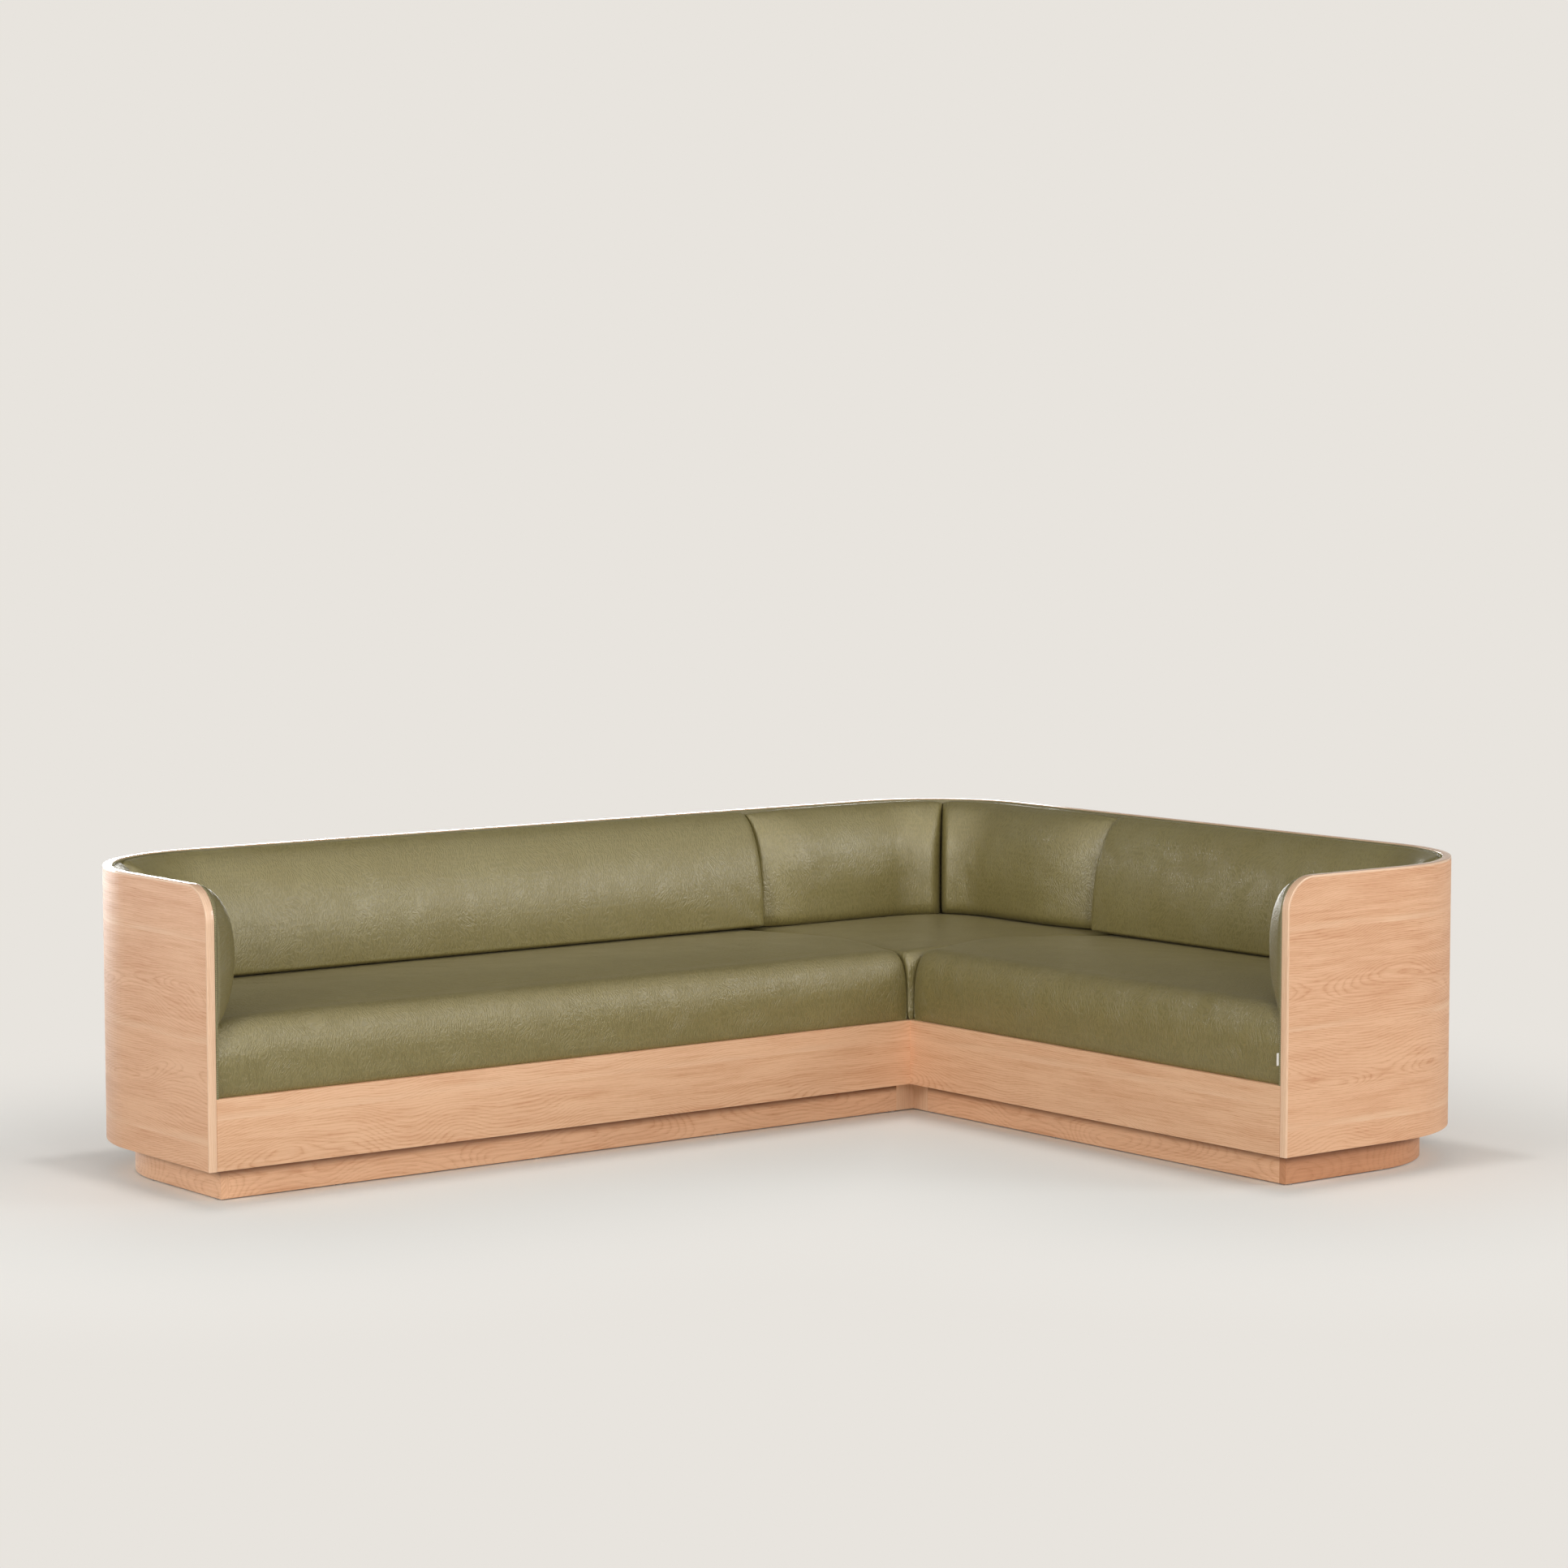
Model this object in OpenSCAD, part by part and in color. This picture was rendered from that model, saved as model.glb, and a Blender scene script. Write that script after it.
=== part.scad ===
// Corner sofa: a bent wooden shell wraps two wings, which stand on a set-back plinth
// and hold leather seats, back cushions and arm pads.
// Millimetres, Z up, origin on the floor at the middle of the plan. The long wing runs
// along X with its back at +Y, and the short wing runs along Y with its back at +X.

/* [Overall] */
// Length of the long side, over the arm and the corner
total_w = 2700; // [2400:10:3200]
// Length of the short side, over the arm and the corner
total_d = 2040; // [1800:10:2600]
// Height of the top of the wooden shell
total_h = 700; // [660:5:780]
// Depth of each wing from front to back
wing_d = 740; // [700:5:820]

/* [Shell] */
// Thickness of the bent veneered wall
shell_t = 20; // [16:1:26]
// Outer radius of the curve behind each arm
end_r = 370; // [320:5:420]
// Outer radius of the big corner
corner_r = 300; // [250:5:360]
// Radius of the front top corner of each arm, seen from the side
arm_top_r = 80; // [50:5:110]
// Thickness of the solid edge band round the rim and the arm fronts
band_t = 5; // [3:1:8]
// Thickness of the splines that join the wall panels
spline_t = 4; // [3:0.5:6]
// How far a spline goes into each panel
spline_w = 12; // [8:1:16]
// How far a spline stops short of the panel's ends
spline_stop = 40; // [20:5:80]

/* [Base] */
// Height of the underside of the shell above the floor
plinth_h = 78; // [60:1:110]
// Set-back of the plinth from the shell's outer face
plinth_inset = 64; // [45:1:90]
// Thickness of the apron and plinth boards
board_t = 20; // [16:1:24]
// Width of each face of the post in the plinth's inner corner
post_w = 55; // [35:1:80]
// Height of the apron under the seats
apron_h = 158; // [120:2:190]
// Height of the floor glides
glide_h = 3; // [2:0.5:6]
// Diameter of the floor glides
glide_d = 18; // [12:1:20]
// Height of the rails that cross the plinth
cross_rail_h = 60; // [40:1:74]
// Widest spacing of the cross rails
cross_rail_pitch = 520; // [350:10:700]

/* [Seat frame] */
// Thickness of the base boards
base_t = 18; // [12:1:24]
// Thickness of the front and back rails
rail_t = 22; // [18:1:30]
// Thickness of the ribs between the rails
rib_t = 18; // [12:1:24]
// Widest spacing of the ribs
rib_pitch = 400; // [300:10:520]
// Thickness of the webbing and of the deck boards beside it
webbing_t = 3.5; // [2:0.5:5]
// Width of a webbing strap
webbing_w = 60; // [40:1:80]
// Widest spacing of the straps
webbing_pitch = 115; // [90:5:160]
// How far a strap lies back from each end of its support
webbing_back = 6; // [3:1:12]

/* [Fasteners] */
// Shank diameter of the countersunk base screws
base_screw_d = 5; // [4:0.5:6]
// Length of the base screws
base_screw_l = 60; // [45:1:70]
// Distance of the base screws from the plinth boards
base_screw_in = 90; // [60:5:150]
// Leg length of the steel angle brackets
bracket_leg = 40; // [30:1:50]
// Width of a bracket
bracket_w = 30; // [20:1:40]
// Thickness of a bracket
bracket_t = 3; // [2:0.5:4]
// Shank diameter of the bracket screws
bracket_screw_d = 4; // [3:0.5:5]
// Length of the bracket screws
bracket_screw_l = 14; // [10:1:16]

/* [Upholstery] */
// Thickness of the leather-covered liner inside the shell
liner_t = 6; // [4:0.5:10]
// How far the liner and the pads lie behind the wooden edges
liner_back = 2; // [1:0.5:5]
// Thickness of the long, short and corner back cushions
back_t = 115; // [90:1:140]
// Thickness of the arm pads
arm_pad_t = 60; // [40:1:80]
// How far the back cushions and arm pads stop below the rim
pad_top_gap = 3; // [1:0.5:10]
// Height at which the back cushions and arm pads rest on the seats
rest_z = 392; // [370:1:420]
// Rise of the seats' crown above that height
seat_crown = 20; // [8:1:30]
// Distance over which the crown rises beside the cushions
crown_run = 150; // [80:5:150]
// Depth of the rounded front edge of the seats
front_round_d = 82; // [50:1:110]
// Height of the rounded front edge of the seats
front_round_h = 74; // [50:1:100]
// Depth and height of that edge at the ends of a seat
front_round_end = 42; // [25:1:60]
// Distance over which the front edge changes to its end form
front_blend = 170; // [100:5:260]
// Radius of the soft ends of the seats at the seams
seat_end_round = 38; // [20:1:60]
// How far the seats' crown is drawn down at the seams
seam_drop = 16; // [5:1:25]
// How far the front of a seat is drawn back at a seam
seam_draw = 12; // [4:1:20]
// Tuck of the seats' bottom edge behind the apron's face
seat_tuck = 4; // [2:0.5:8]
// Radius of the soft ends of the back cushions and arm pads
pad_end_round = 46; // [25:1:70]
// How far the top corners of a cushion drop at a seam
pad_corner_drop = 9; // [3:1:20]
// Least thickness of cover and wadding round a foam core
wadding_t = 26; // [20:1:32]
// Length of the cloth tag in the seam of the short seat
tag_h = 28; // [15:1:40]
// How far the tag stands out of the seam
tag_out = 5; // [3:0.5:8]
// Height of the middle of the tag
tag_z = 295; // [270:1:330]

/* [Hidden] */
$fn = 96;

// Clearances
fit_gap = 0.3;          // round panels inside panels, and round soft pieces
hole_gap = 0.1;         // round the shank of a screw
overrun = 1;            // how far a cut runs past the face it cuts
tag_room = 0.03;        // on each side of the tag in its seam

// Places that follow from the sizes
half_w = total_w / 2;
half_d = total_d / 2;
inner_x = half_w - wing_d;
inner_y = half_d - wing_d;
long_run = total_w - wing_d;
short_run = total_d - wing_d;
end_first = wing_d - end_r;
corner_first = wing_d - corner_r;
apron_top = plinth_h + apron_h;
base_top = plinth_h + base_t;
frame_top = apron_top - webbing_t - fit_gap;
frame_h = frame_top - base_top;
wall_in = shell_t + fit_gap;               // inset of what stands inside the shell
liner_in = wall_in + liner_t;              // inset of the liner's inner face
soft_in = liner_in + fit_gap;              // inset of the cushions' backs
seam_shift = shell_t + liner_t;            // back seams lie this far past the seat seams
rail_in = board_t + rail_t;                // depth from the wing's front to the ribs
back_rail_v = wing_d - wall_in - rail_t;   // depth of the back rail's front face
pad_top = total_h - pad_top_gap;

// Cushion forms, as shares of their own sizes
back_belly_share = 0.26;    // height of the fullest line of a back cushion
arm_belly_share = 0.5;      // height of the fullest line of an arm pad
lip_share = 0.99;           // how nearly the upper curve closes at the top
back_tuck_share = 0.12;     // how much a back cushion draws in at its foot
seam_end_share = 0.45;      // thickness left at a seam
front_end_share = 0.12;     // thickness left at the front end of an arm pad

// Numbers of points
arc_steps = 10;
end_steps = 5;
front_steps = 6;
top_steps = 9;
profile_steps = 12;
pad_pitch = 62;

// Screws
base_head_d = base_screw_d * 2;
base_head_h = base_screw_d / 2;
bracket_head_d = bracket_screw_d * 2;
bracket_head_h = bracket_screw_d * 0.6;

// Places of the wings. Each is drawn with its arm at u = 0 and its front at v = 0.
module on_long() translate([-half_w, inner_y, 0]) children();

module on_short() translate([inner_x, -half_d, 0]) mirror([1, -1, 0]) children();

// The two halves of the corner, drawn like a wing whose wall curves at the corner.
module on_corner_right() translate([half_w, inner_y, 0]) mirror([1, 0, 0]) children();

module on_corner_left() translate([inner_x, half_d, 0]) rotate([0, 0, -90]) children();

module both_wings() {
    on_long() children();
    on_short() children();
}

module both_corners() {
    on_corner_left() children();
    on_corner_right() children();
}

module slab(z0, z1) translate([0, 0, z0]) linear_extrude(z1 - z0) children();

// A part of a circle's disc from angle a0 to a1, counted from -u towards +v.
module wedge(r, a0, a1) polygon([[0, 0],
    [-2 * r * cos(a0), 2 * r * sin(a0)],
    [-2 * r * cos(a1), 2 * r * sin(a1)]]);

// Plan of a wall from inset t0 to t1: straight from v0 to the curve, round to angle a1,
// and on to u1 where u1 is past the curve.
module wall_plan(first, rad, t0, t1, v0, a0, a1, u1) {
    if (v0 < first) translate([t0, v0]) square([t1 - t0, first - v0]);
    if (a1 > a0) translate([rad, first]) intersection() {
        difference() {
            circle(rad - t0);
            circle(rad - t1);
        }
        wedge(rad, a0, a1);
    }
    if (u1 > rad) translate([rad, first + rad - t1]) square([u1 - rad, t1 - t0]);
}

// Plan of a board that fills a wing inside inset g, from depth v0 on and up to u1.
module board_plan(first, rad, g, v0, u1) difference() {
    translate([g, v0]) square([u1 - g, first + rad - g - v0]);
    translate([rad, first]) difference() {
        translate([-rad, 0]) square([rad, rad]);
        circle(rad - g);
    }
}

// What is cut off above the rounded front top corner of an arm, at a given inset.
module arm_corner_waste(inset, u1) rotate([90, 0, 90]) slab(-overrun, u1) difference() {
    translate([-overrun, total_h - arm_top_r])
        square([arm_top_r + overrun, arm_top_r + overrun]);
    translate([arm_top_r, total_h - arm_top_r]) circle(arm_top_r - inset);
}

// Groove for the spline in a joint of the wall at u, made g wider than the spline all round.
module spline_box(u, g) translate([u - spline_w - g, wing_d - (shell_t + spline_t) / 2 - g,
                                   plinth_h + spline_stop - g])
    cube([2 * (spline_w + g), spline_t + 2 * g,
          total_h - band_t - plinth_h - 2 * (spline_stop - g)]);

module arm_shell() color("burlywood") difference() {
    slab(plinth_h, total_h - band_t)
        wall_plan(end_first, end_r, 0, shell_t, band_t, 0, 90, 0);
    arm_corner_waste(band_t, shell_t + overrun);
    spline_box(end_r, fit_gap);
}

module back_shell(run) color("burlywood") difference() {
    translate([end_r, wing_d - shell_t, plinth_h])
        cube([run + corner_first - end_r, shell_t, total_h - band_t - plinth_h]);
    spline_box(end_r, fit_gap);
    spline_box(run + corner_first, fit_gap);
}

module left_arm_shell() on_long() arm_shell();

module right_arm_shell() on_short() arm_shell();

module long_back_shell() on_long() back_shell(long_run);

module short_back_shell() on_short() back_shell(short_run);

module corner_shell() color("burlywood") difference() {
    on_corner_right() slab(plinth_h, total_h - band_t)
        wall_plan(corner_first, corner_r, 0, shell_t, corner_first, 0, 90, 0);
    on_long() spline_box(long_run + corner_first, fit_gap);
    on_short() spline_box(short_run + corner_first, fit_gap);
}

module shell_splines() color("tan") {
    both_wings() spline_box(end_r, 0);
    on_long() spline_box(long_run + corner_first, 0);
    on_short() spline_box(short_run + corner_first, 0);
}

// Solid band down the front of an arm, over its rounded corner and along its rim.
module arm_edge_band() color("wheat") difference() {
    slab(plinth_h, total_h)
        wall_plan(end_first, end_r, 0, shell_t, 0, 0, 90, 0);
    arm_corner_waste(0, shell_t + overrun);
    rotate([90, 0, 90]) slab(-overrun, end_r + overrun) difference() {
        translate([band_t, 0]) square([wing_d, total_h - band_t]);
        difference() {
            translate([0, total_h - arm_top_r]) square(arm_top_r);
            translate([arm_top_r, total_h - arm_top_r]) circle(arm_top_r - band_t);
        }
    }
}

module back_rim(run) color("wheat") translate([end_r, wing_d - shell_t, total_h - band_t])
    cube([run + corner_first - end_r, shell_t, band_t]);

module left_arm_edge_band() on_long() arm_edge_band();

module right_arm_edge_band() on_short() arm_edge_band();

module long_back_rim() on_long() back_rim(long_run);

module short_back_rim() on_short() back_rim(short_run);

module corner_rim() color("wheat") on_corner_right() slab(total_h - band_t, total_h)
    wall_plan(corner_first, corner_r, 0, shell_t, corner_first, 0, 90, 0);

// Leather-covered liners that line the shell down to the apron's top
module arm_liner() color("olive") difference() {
    slab(apron_top, total_h - liner_back)
        wall_plan(end_first, end_r, wall_in, liner_in, liner_back, 0, 90, 0);
    arm_corner_waste(liner_back, liner_in + overrun);
}

module back_liner(run) color("olive") translate([end_r, wing_d - liner_in, apron_top])
    cube([run + corner_first - end_r, liner_t, total_h - liner_back - apron_top]);

module left_arm_liner() on_long() arm_liner();

module right_arm_liner() on_short() arm_liner();

module long_back_liner() on_long() back_liner(long_run);

module short_back_liner() on_short() back_liner(short_run);

module corner_liner() color("olive") on_corner_right() slab(apron_top, total_h - liner_back)
    wall_plan(corner_first, corner_r, wall_in, liner_in, corner_first, 0, 90, 0);

// Aprons, mitred where the wings meet
module apron(run) color("burlywood") slab(plinth_h, apron_top)
    polygon([[shell_t, 0], [run, 0], [run + board_t, board_t], [shell_t, board_t]]);

module long_apron() on_long() apron(long_run);

module short_apron() on_short() apron(short_run);

// Plinth
module plinth_front(run) color("tan")
    translate([plinth_inset + board_t, plinth_inset, glide_h])
    cube([run - board_t - post_w, board_t, plinth_h - glide_h]);

module plinth_end() color("tan") slab(glide_h, plinth_h)
    wall_plan(end_first, end_r, plinth_inset, plinth_inset + board_t, plinth_inset, 0, 90, 0);

module plinth_back(run) color("tan")
    translate([end_r, wing_d - plinth_inset - board_t, glide_h])
    cube([run + corner_first - end_r, board_t, plinth_h - glide_h]);

module plinth_long_front() on_long() plinth_front(long_run);

module plinth_short_front() on_short() plinth_front(short_run);

module plinth_left_end() on_long() plinth_end();

module plinth_right_end() on_short() plinth_end();

module plinth_long_back() on_long() plinth_back(long_run);

module plinth_short_back() on_short() plinth_back(short_run);

module plinth_corner() color("tan") on_corner_right() slab(glide_h, plinth_h)
    wall_plan(corner_first, corner_r, plinth_inset, plinth_inset + board_t,
              corner_first, 0, 90, 0);

module plinth_inner_post() color("tan") translate([inner_x, inner_y, 0])
    slab(glide_h, plinth_h) union() {
        translate([plinth_inset - post_w, plinth_inset]) square([post_w + board_t, board_t]);
        translate([plinth_inset, plinth_inset - post_w]) square([board_t, post_w + board_t]);
    }

// Rails across the plinth, which carry the base boards
function bays(run, from, pitch) = max(1, round((run - from) / pitch));

function cross_u(run, i) = end_r + (run - end_r) * i / bays(run, end_r, cross_rail_pitch);

cross_v = plinth_inset + board_t;
cross_l = wing_d - 2 * cross_v;

module cross_rails(run) for (i = [0 : bays(run, end_r, cross_rail_pitch) - 1])
    translate([cross_u(run, i), cross_v, plinth_h - cross_rail_h])
    cube([board_t, cross_l, cross_rail_h]);

module plinth_cross_rails() color("tan") difference() {
    union() {
        on_long() cross_rails(long_run);
        on_short() cross_rails(short_run);
        translate([inner_x + cross_v, inner_y + plinth_inset, plinth_h - cross_rail_h])
            cube([cross_l, board_t, cross_rail_h]);
    }
    base_screw_places() base_screw_hole();
}

// Glides under the plinth's boards
glide_in = plinth_inset + board_t / 2;

module glide_row(run) for (i = [0 : bays(run, end_r, cross_rail_pitch)])
    translate([cross_u(run, i), 0, 0]) {
        translate([0, glide_in, 0]) cylinder(d = glide_d, h = glide_h);
        translate([0, wing_d - glide_in, 0]) cylinder(d = glide_d, h = glide_h);
    }

module end_glides() {
    translate([glide_in, plinth_inset + glide_d, 0]) cylinder(d = glide_d, h = glide_h);
    translate([glide_in, end_first, 0]) cylinder(d = glide_d, h = glide_h);
}

module floor_glides() color("dimgray") {
    on_long() glide_row(long_run);
    on_short() glide_row(short_run);
    both_wings() end_glides();
    both_corners() translate([glide_in, corner_first, 0]) cylinder(d = glide_d, h = glide_h);
}

// Base boards on the plinth, which the shell and the apron stand round
module base_board(run) slab(plinth_h, base_top)
    board_plan(end_first, end_r, wall_in, board_t, run);

module long_base_board() color("peru") difference() {
    on_long() base_board(long_run);
    base_screw_places() base_screw_hole();
    bracket_places() bracket_screw_holes();
}

module short_base_board() color("peru") difference() {
    on_short() base_board(short_run);
    base_screw_places() base_screw_hole();
    bracket_places() bracket_screw_holes();
}

module corner_base_board() color("peru") difference() {
    on_corner_right() slab(plinth_h, base_top)
        board_plan(corner_first, corner_r, wall_in, 0, wing_d);
    translate([inner_x - overrun, inner_y - overrun, plinth_h - overrun])
        cube([board_t + overrun, board_t + overrun, base_t + 2 * overrun]);
    base_screw_places() base_screw_hole();
    bracket_places() bracket_screw_holes();
}

// Countersunk screws through the base boards into the cross rails
module cross_screws(run) for (i = [0 : bays(run, end_r, cross_rail_pitch) - 1])
    for (v = [cross_v + base_screw_in, wing_d - cross_v - base_screw_in])
        translate([cross_u(run, i) + board_t / 2, v, base_top]) children();

module base_screw_places() {
    on_long() cross_screws(long_run) children();
    on_short() cross_screws(short_run) children();
    for (u = [cross_v + base_screw_in, wing_d - cross_v - base_screw_in])
        translate([inner_x + u, inner_y + glide_in, base_top]) children();
}

module countersunk(d, head_d, head_h, l, g) {
    translate([0, 0, -l - g]) cylinder(d = d + 2 * g, h = l + g);
    translate([0, 0, -head_h]) cylinder(d1 = d + 2 * g, d2 = head_d + 2 * g, h = head_h);
}

module base_screw_hole() {
    countersunk(base_screw_d, base_head_d, base_head_h, base_screw_l, hole_gap);
    cylinder(d = base_head_d + 2 * hole_gap, h = overrun);
}

module base_screws() color("silver") base_screw_places()
    countersunk(base_screw_d, base_head_d, base_head_h, base_screw_l, 0);

// Rails behind the aprons and along the shell
module front_rail(u1) translate([wall_in, board_t, base_top])
    cube([u1 - wall_in, rail_t, frame_h]);

module back_rail(run) translate([end_r, back_rail_v, base_top])
    cube([run + corner_first - end_r, rail_t, frame_h]);

module long_front_rail() color("peru") difference() {
    on_long() front_rail(long_run + rail_in);
    bracket_places() bracket_screw_holes();
}

module short_front_rail() color("peru") difference() {
    on_short() front_rail(short_run + board_t);
    bracket_places() bracket_screw_holes();
}

module long_back_rail() color("peru") difference() {
    on_long() back_rail(long_run);
    bracket_places() bracket_screw_holes();
}

module short_back_rail() color("peru") difference() {
    on_short() back_rail(short_run);
    bracket_places() bracket_screw_holes();
}

// Ribs between the rails: one at the end curve, one at the seat seam and others between
end_rib_u = end_r + rib_t;

function rib_u(run, i) = end_rib_u + (run - end_rib_u) * i / bays(run, end_rib_u, rib_pitch);

module ribs(run) {
    for (i = [0 : bays(run, end_rib_u, rib_pitch)])
        translate([rib_u(run, i) - rib_t / 2, rail_in, base_top])
        cube([rib_t, back_rail_v - rail_in, frame_h]);
    translate([wall_in, rail_in, base_top]) cube([rib_t, end_first - rail_in, frame_h]);
}

module seat_ribs() color("peru") {
    on_long() ribs(long_run);
    on_short() ribs(short_run);
    translate([inner_x + rib_t / 2, inner_y + corner_first - rib_t / 2, base_top])
        cube([back_rail_v - rib_t / 2, rib_t, frame_h]);
}

// Angle brackets between the base boards and the rails, halfway between ribs
module wing_brackets(run) for (i = [0 : bays(run, end_rib_u, rib_pitch) - 1]) {
    mid_u = (rib_u(run, i) + rib_u(run, i + 1)) / 2;
    translate([mid_u, rail_in, base_top]) children();
    translate([mid_u, back_rail_v, base_top]) mirror([0, 1, 0]) children();
}

module bracket_places() {
    on_long() wing_brackets(long_run) children();
    on_short() wing_brackets(short_run) children();
}

bracket_hole_at = bracket_leg * 0.6;

// The two screws of one bracket, with room g round them
module bracket_screw_pair(g) {
    translate([0, bracket_hole_at, bracket_t]) pan_screw(g);
    translate([0, bracket_t, bracket_hole_at]) rotate([-90, 0, 0]) pan_screw(g);
}

module pan_screw(g) {
    translate([0, 0, -bracket_screw_l - g])
        cylinder(d = bracket_screw_d + 2 * g, h = bracket_screw_l + g);
    if (g == 0) cylinder(d = bracket_head_d, h = bracket_head_h);
}

module bracket_screw_holes() {
    bracket_screw_pair(hole_gap);
    translate([0, bracket_hole_at, 0]) cylinder(d = bracket_screw_d + 2 * hole_gap,
                                                h = bracket_t + overrun);
    translate([0, 0, bracket_hole_at]) rotate([-90, 0, 0])
        cylinder(d = bracket_screw_d + 2 * hole_gap, h = bracket_t + overrun);
}

module rail_brackets() color("silver") bracket_places() difference() {
    translate([-bracket_w / 2, 0, 0]) union() {
        cube([bracket_w, bracket_leg, bracket_t]);
        cube([bracket_w, bracket_t, bracket_leg]);
    }
    bracket_screw_holes();
}

module bracket_screws() color("silver") bracket_places() bracket_screw_pair(0);

// Webbing straps on the rails, between the ribs
module wing_straps(run) {
    bay = rib_u(run, 1) - rib_u(run, 0);
    count = max(1, round((bay - rib_t) / webbing_pitch));
    for (i = [0 : bays(run, end_rib_u, rib_pitch) - 1])
        for (k = [0 : count - 1])
            translate([rib_u(run, i) + rib_t / 2
                       + (bay - rib_t) * (k + 0.5) / count - webbing_w / 2,
                       board_t + webbing_back, frame_top])
            cube([webbing_w, wing_d - wall_in - board_t - 2 * webbing_back, webbing_t]);
}

module wing_webbing() color("darkslategray") {
    on_long() wing_straps(long_run);
    on_short() wing_straps(short_run);
}

module corner_webbing() color("darkslategray") {
    count = max(1, round(corner_first / webbing_pitch));
    for (k = [0 : count - 1])
        translate([inner_x,
                   inner_y + (corner_first - rib_t / 2) * (k + 0.5) / count - webbing_w / 2,
                   frame_top])
        cube([wing_d - wall_in - webbing_back, webbing_w, webbing_t]);
}

// Thin deck boards where the shell curves and straps can't reach
module seat_decks() color("saddlebrown") {
    both_wings() slab(frame_top, frame_top + webbing_t)
        board_plan(end_first, end_r, wall_in, board_t, end_rib_u);
    on_corner_right() slab(frame_top, frame_top + webbing_t)
        board_plan(corner_first, corner_r, wall_in, corner_first, wing_d);
}

// A solid through a list of rings with the same number of points
function flat(rings) = [for (ring = rings) for (p = ring) p];

module loft(rings) {
    n = len(rings);
    m = len(rings[0]);
    sides = [for (i = [0 : n - 2]) for (j = [0 : m - 1])
        let (a = i * m + j, b = i * m + (j + 1) % m, c = a + m, d = b + m)
        each [[a, b, d], [a, d, c]]];
    polyhedron(flat(rings),
               concat(sides, [[for (j = [m - 1 : -1 : 0]) j]],
                      [[for (j = [0 : m - 1]) (n - 1) * m + j]]), convexity = 8);
}

// Rise from 0 to 1 over a length: ease() is smooth at its top, swell() is a quarter ellipse
function ease(d, l) = d <= 0 ? 0 : d >= l ? 1 : 1 - pow(1 - d / l, 2);

function swell(d, l) = d <= 0 ? 0 : d >= l ? 1 : sqrt(1 - pow(1 - d / l, 2));

function mix(a, b, k) = a + (b - a) * k;

// How far the crown has risen at u, v beside the cushions that stand on a seat's margin.
// The first wall carries a cushion t1 thick and the second, round the curve, one t2 thick.
function crown_share(u, v, first, rad, t1, t2) = u < rad && v > first
    ? let (a = atan2(v - first, rad - u))
      ease(rad - soft_in - norm([rad - u, v - first])
           - mix(t1, t2, ease(a - 45, 12)), crown_run)
    : ease(u - soft_in - t1, crown_run)
      * ease(first + rad - soft_in - v - t2, crown_run);

function seat_back_v(u, first, rad) = u < rad
    ? first + sqrt(max(0, pow(rad - soft_in, 2) - pow(rad - u, 2)))
    : first + rad - soft_in;

// Stations along a seat: round the curve, along the straight and over the soft end
function seat_stations(rad, u1, mid_steps) = concat(
    [for (k = [0 : arc_steps]) rad - (rad - soft_in) * cos(90 * k / arc_steps)],
    [for (k = [1 : mid_steps]) mix(rad, u1 - seat_end_round, k / mid_steps)],
    [for (k = [1 : end_steps]) u1 - seat_end_round * (1 - sin(90 * k / end_steps))]);

// One ring of a seat at u, from its bottom front edge over the top to its back
function seat_ring(u, u1, v0, first, rad, t1, t2, round_d, round_h) =
    let (last = swell(u1 - u, seat_end_round),
         near = ease(min(u - soft_in, u1 - u), front_blend),
         rd = mix(front_round_end, round_d, near),
         rh = mix(front_round_end, round_h, near),
         vb = seat_back_v(u, first, rad),
         draw = seam_draw * (1 - last),
         vs = concat([for (k = [0 : front_steps])
                         v0 + rd * (1 - cos(90 * k / front_steps))],
                     [for (k = [1 : top_steps]) mix(v0 + rd, vb, k / top_steps)]),
         tops = [for (v = vs) rest_z - seam_drop * (1 - last)
                     + seat_crown * last * crown_share(u, max(v, v0 + rd), first, rad, t1, t2)])
    concat([[u, v0 + seat_tuck, apron_top], [u, v0 + seat_tuck * 0.3, apron_top + seat_tuck],
            [u, v0, apron_top + 3 * seat_tuck]],
           [for (k = [0 : len(vs) - 1])
               k <= front_steps
                   ? [u, mix(vs[k] + draw, vs[k], k / front_steps),
                      tops[k] - rh * (1 - sin(90 * k / front_steps))]
                   : [u, vs[k], tops[k]]],
           [[u, vb, apron_top]]);

module seat_form(run, v0, first, rad, t1, t2, round_d, round_h, mid_steps) {
    u1 = run - fit_gap;
    loft([for (u = seat_stations(rad, u1, mid_steps))
        seat_ring(u, u1, v0, first, rad, t1, t2, round_d, round_h)]);
}

// Foam core of a seat, open below; g is the room round it
foam_top = rest_z - seam_drop - wadding_t;

module seat_core(run, v0, first, rad, g) slab(apron_top - (g > 0 ? overrun : 0), foam_top + g)
    board_plan(first, rad, soft_in + wadding_t - g, v0 + wadding_t - g, run - wadding_t + g);

module wing_seat(run) color("olive") difference() {
    seat_form(run, 0, end_first, end_r, arm_pad_t, back_t, front_round_d, front_round_h,
              round((run - end_r) / (2 * front_blend)) + 2);
    seat_core(run, 0, end_first, end_r, fit_gap);
}

module long_seat_cushion() on_long() wing_seat(long_run);

module short_seat_cushion() on_short() wing_seat(short_run);

module corner_seat_cushion() color("olive") on_corner_right() difference() {
    seat_form(wing_d, fit_gap, corner_first, corner_r, back_t, back_t, seat_end_round,
              seat_end_round, end_steps);
    seat_core(wing_d, 0, corner_first, corner_r, fit_gap);
}

module long_seat_foam() color("khaki") on_long()
    seat_core(long_run, 0, end_first, end_r, 0);

module short_seat_foam() color("khaki") on_short()
    seat_core(short_run, 0, end_first, end_r, 0);

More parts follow.
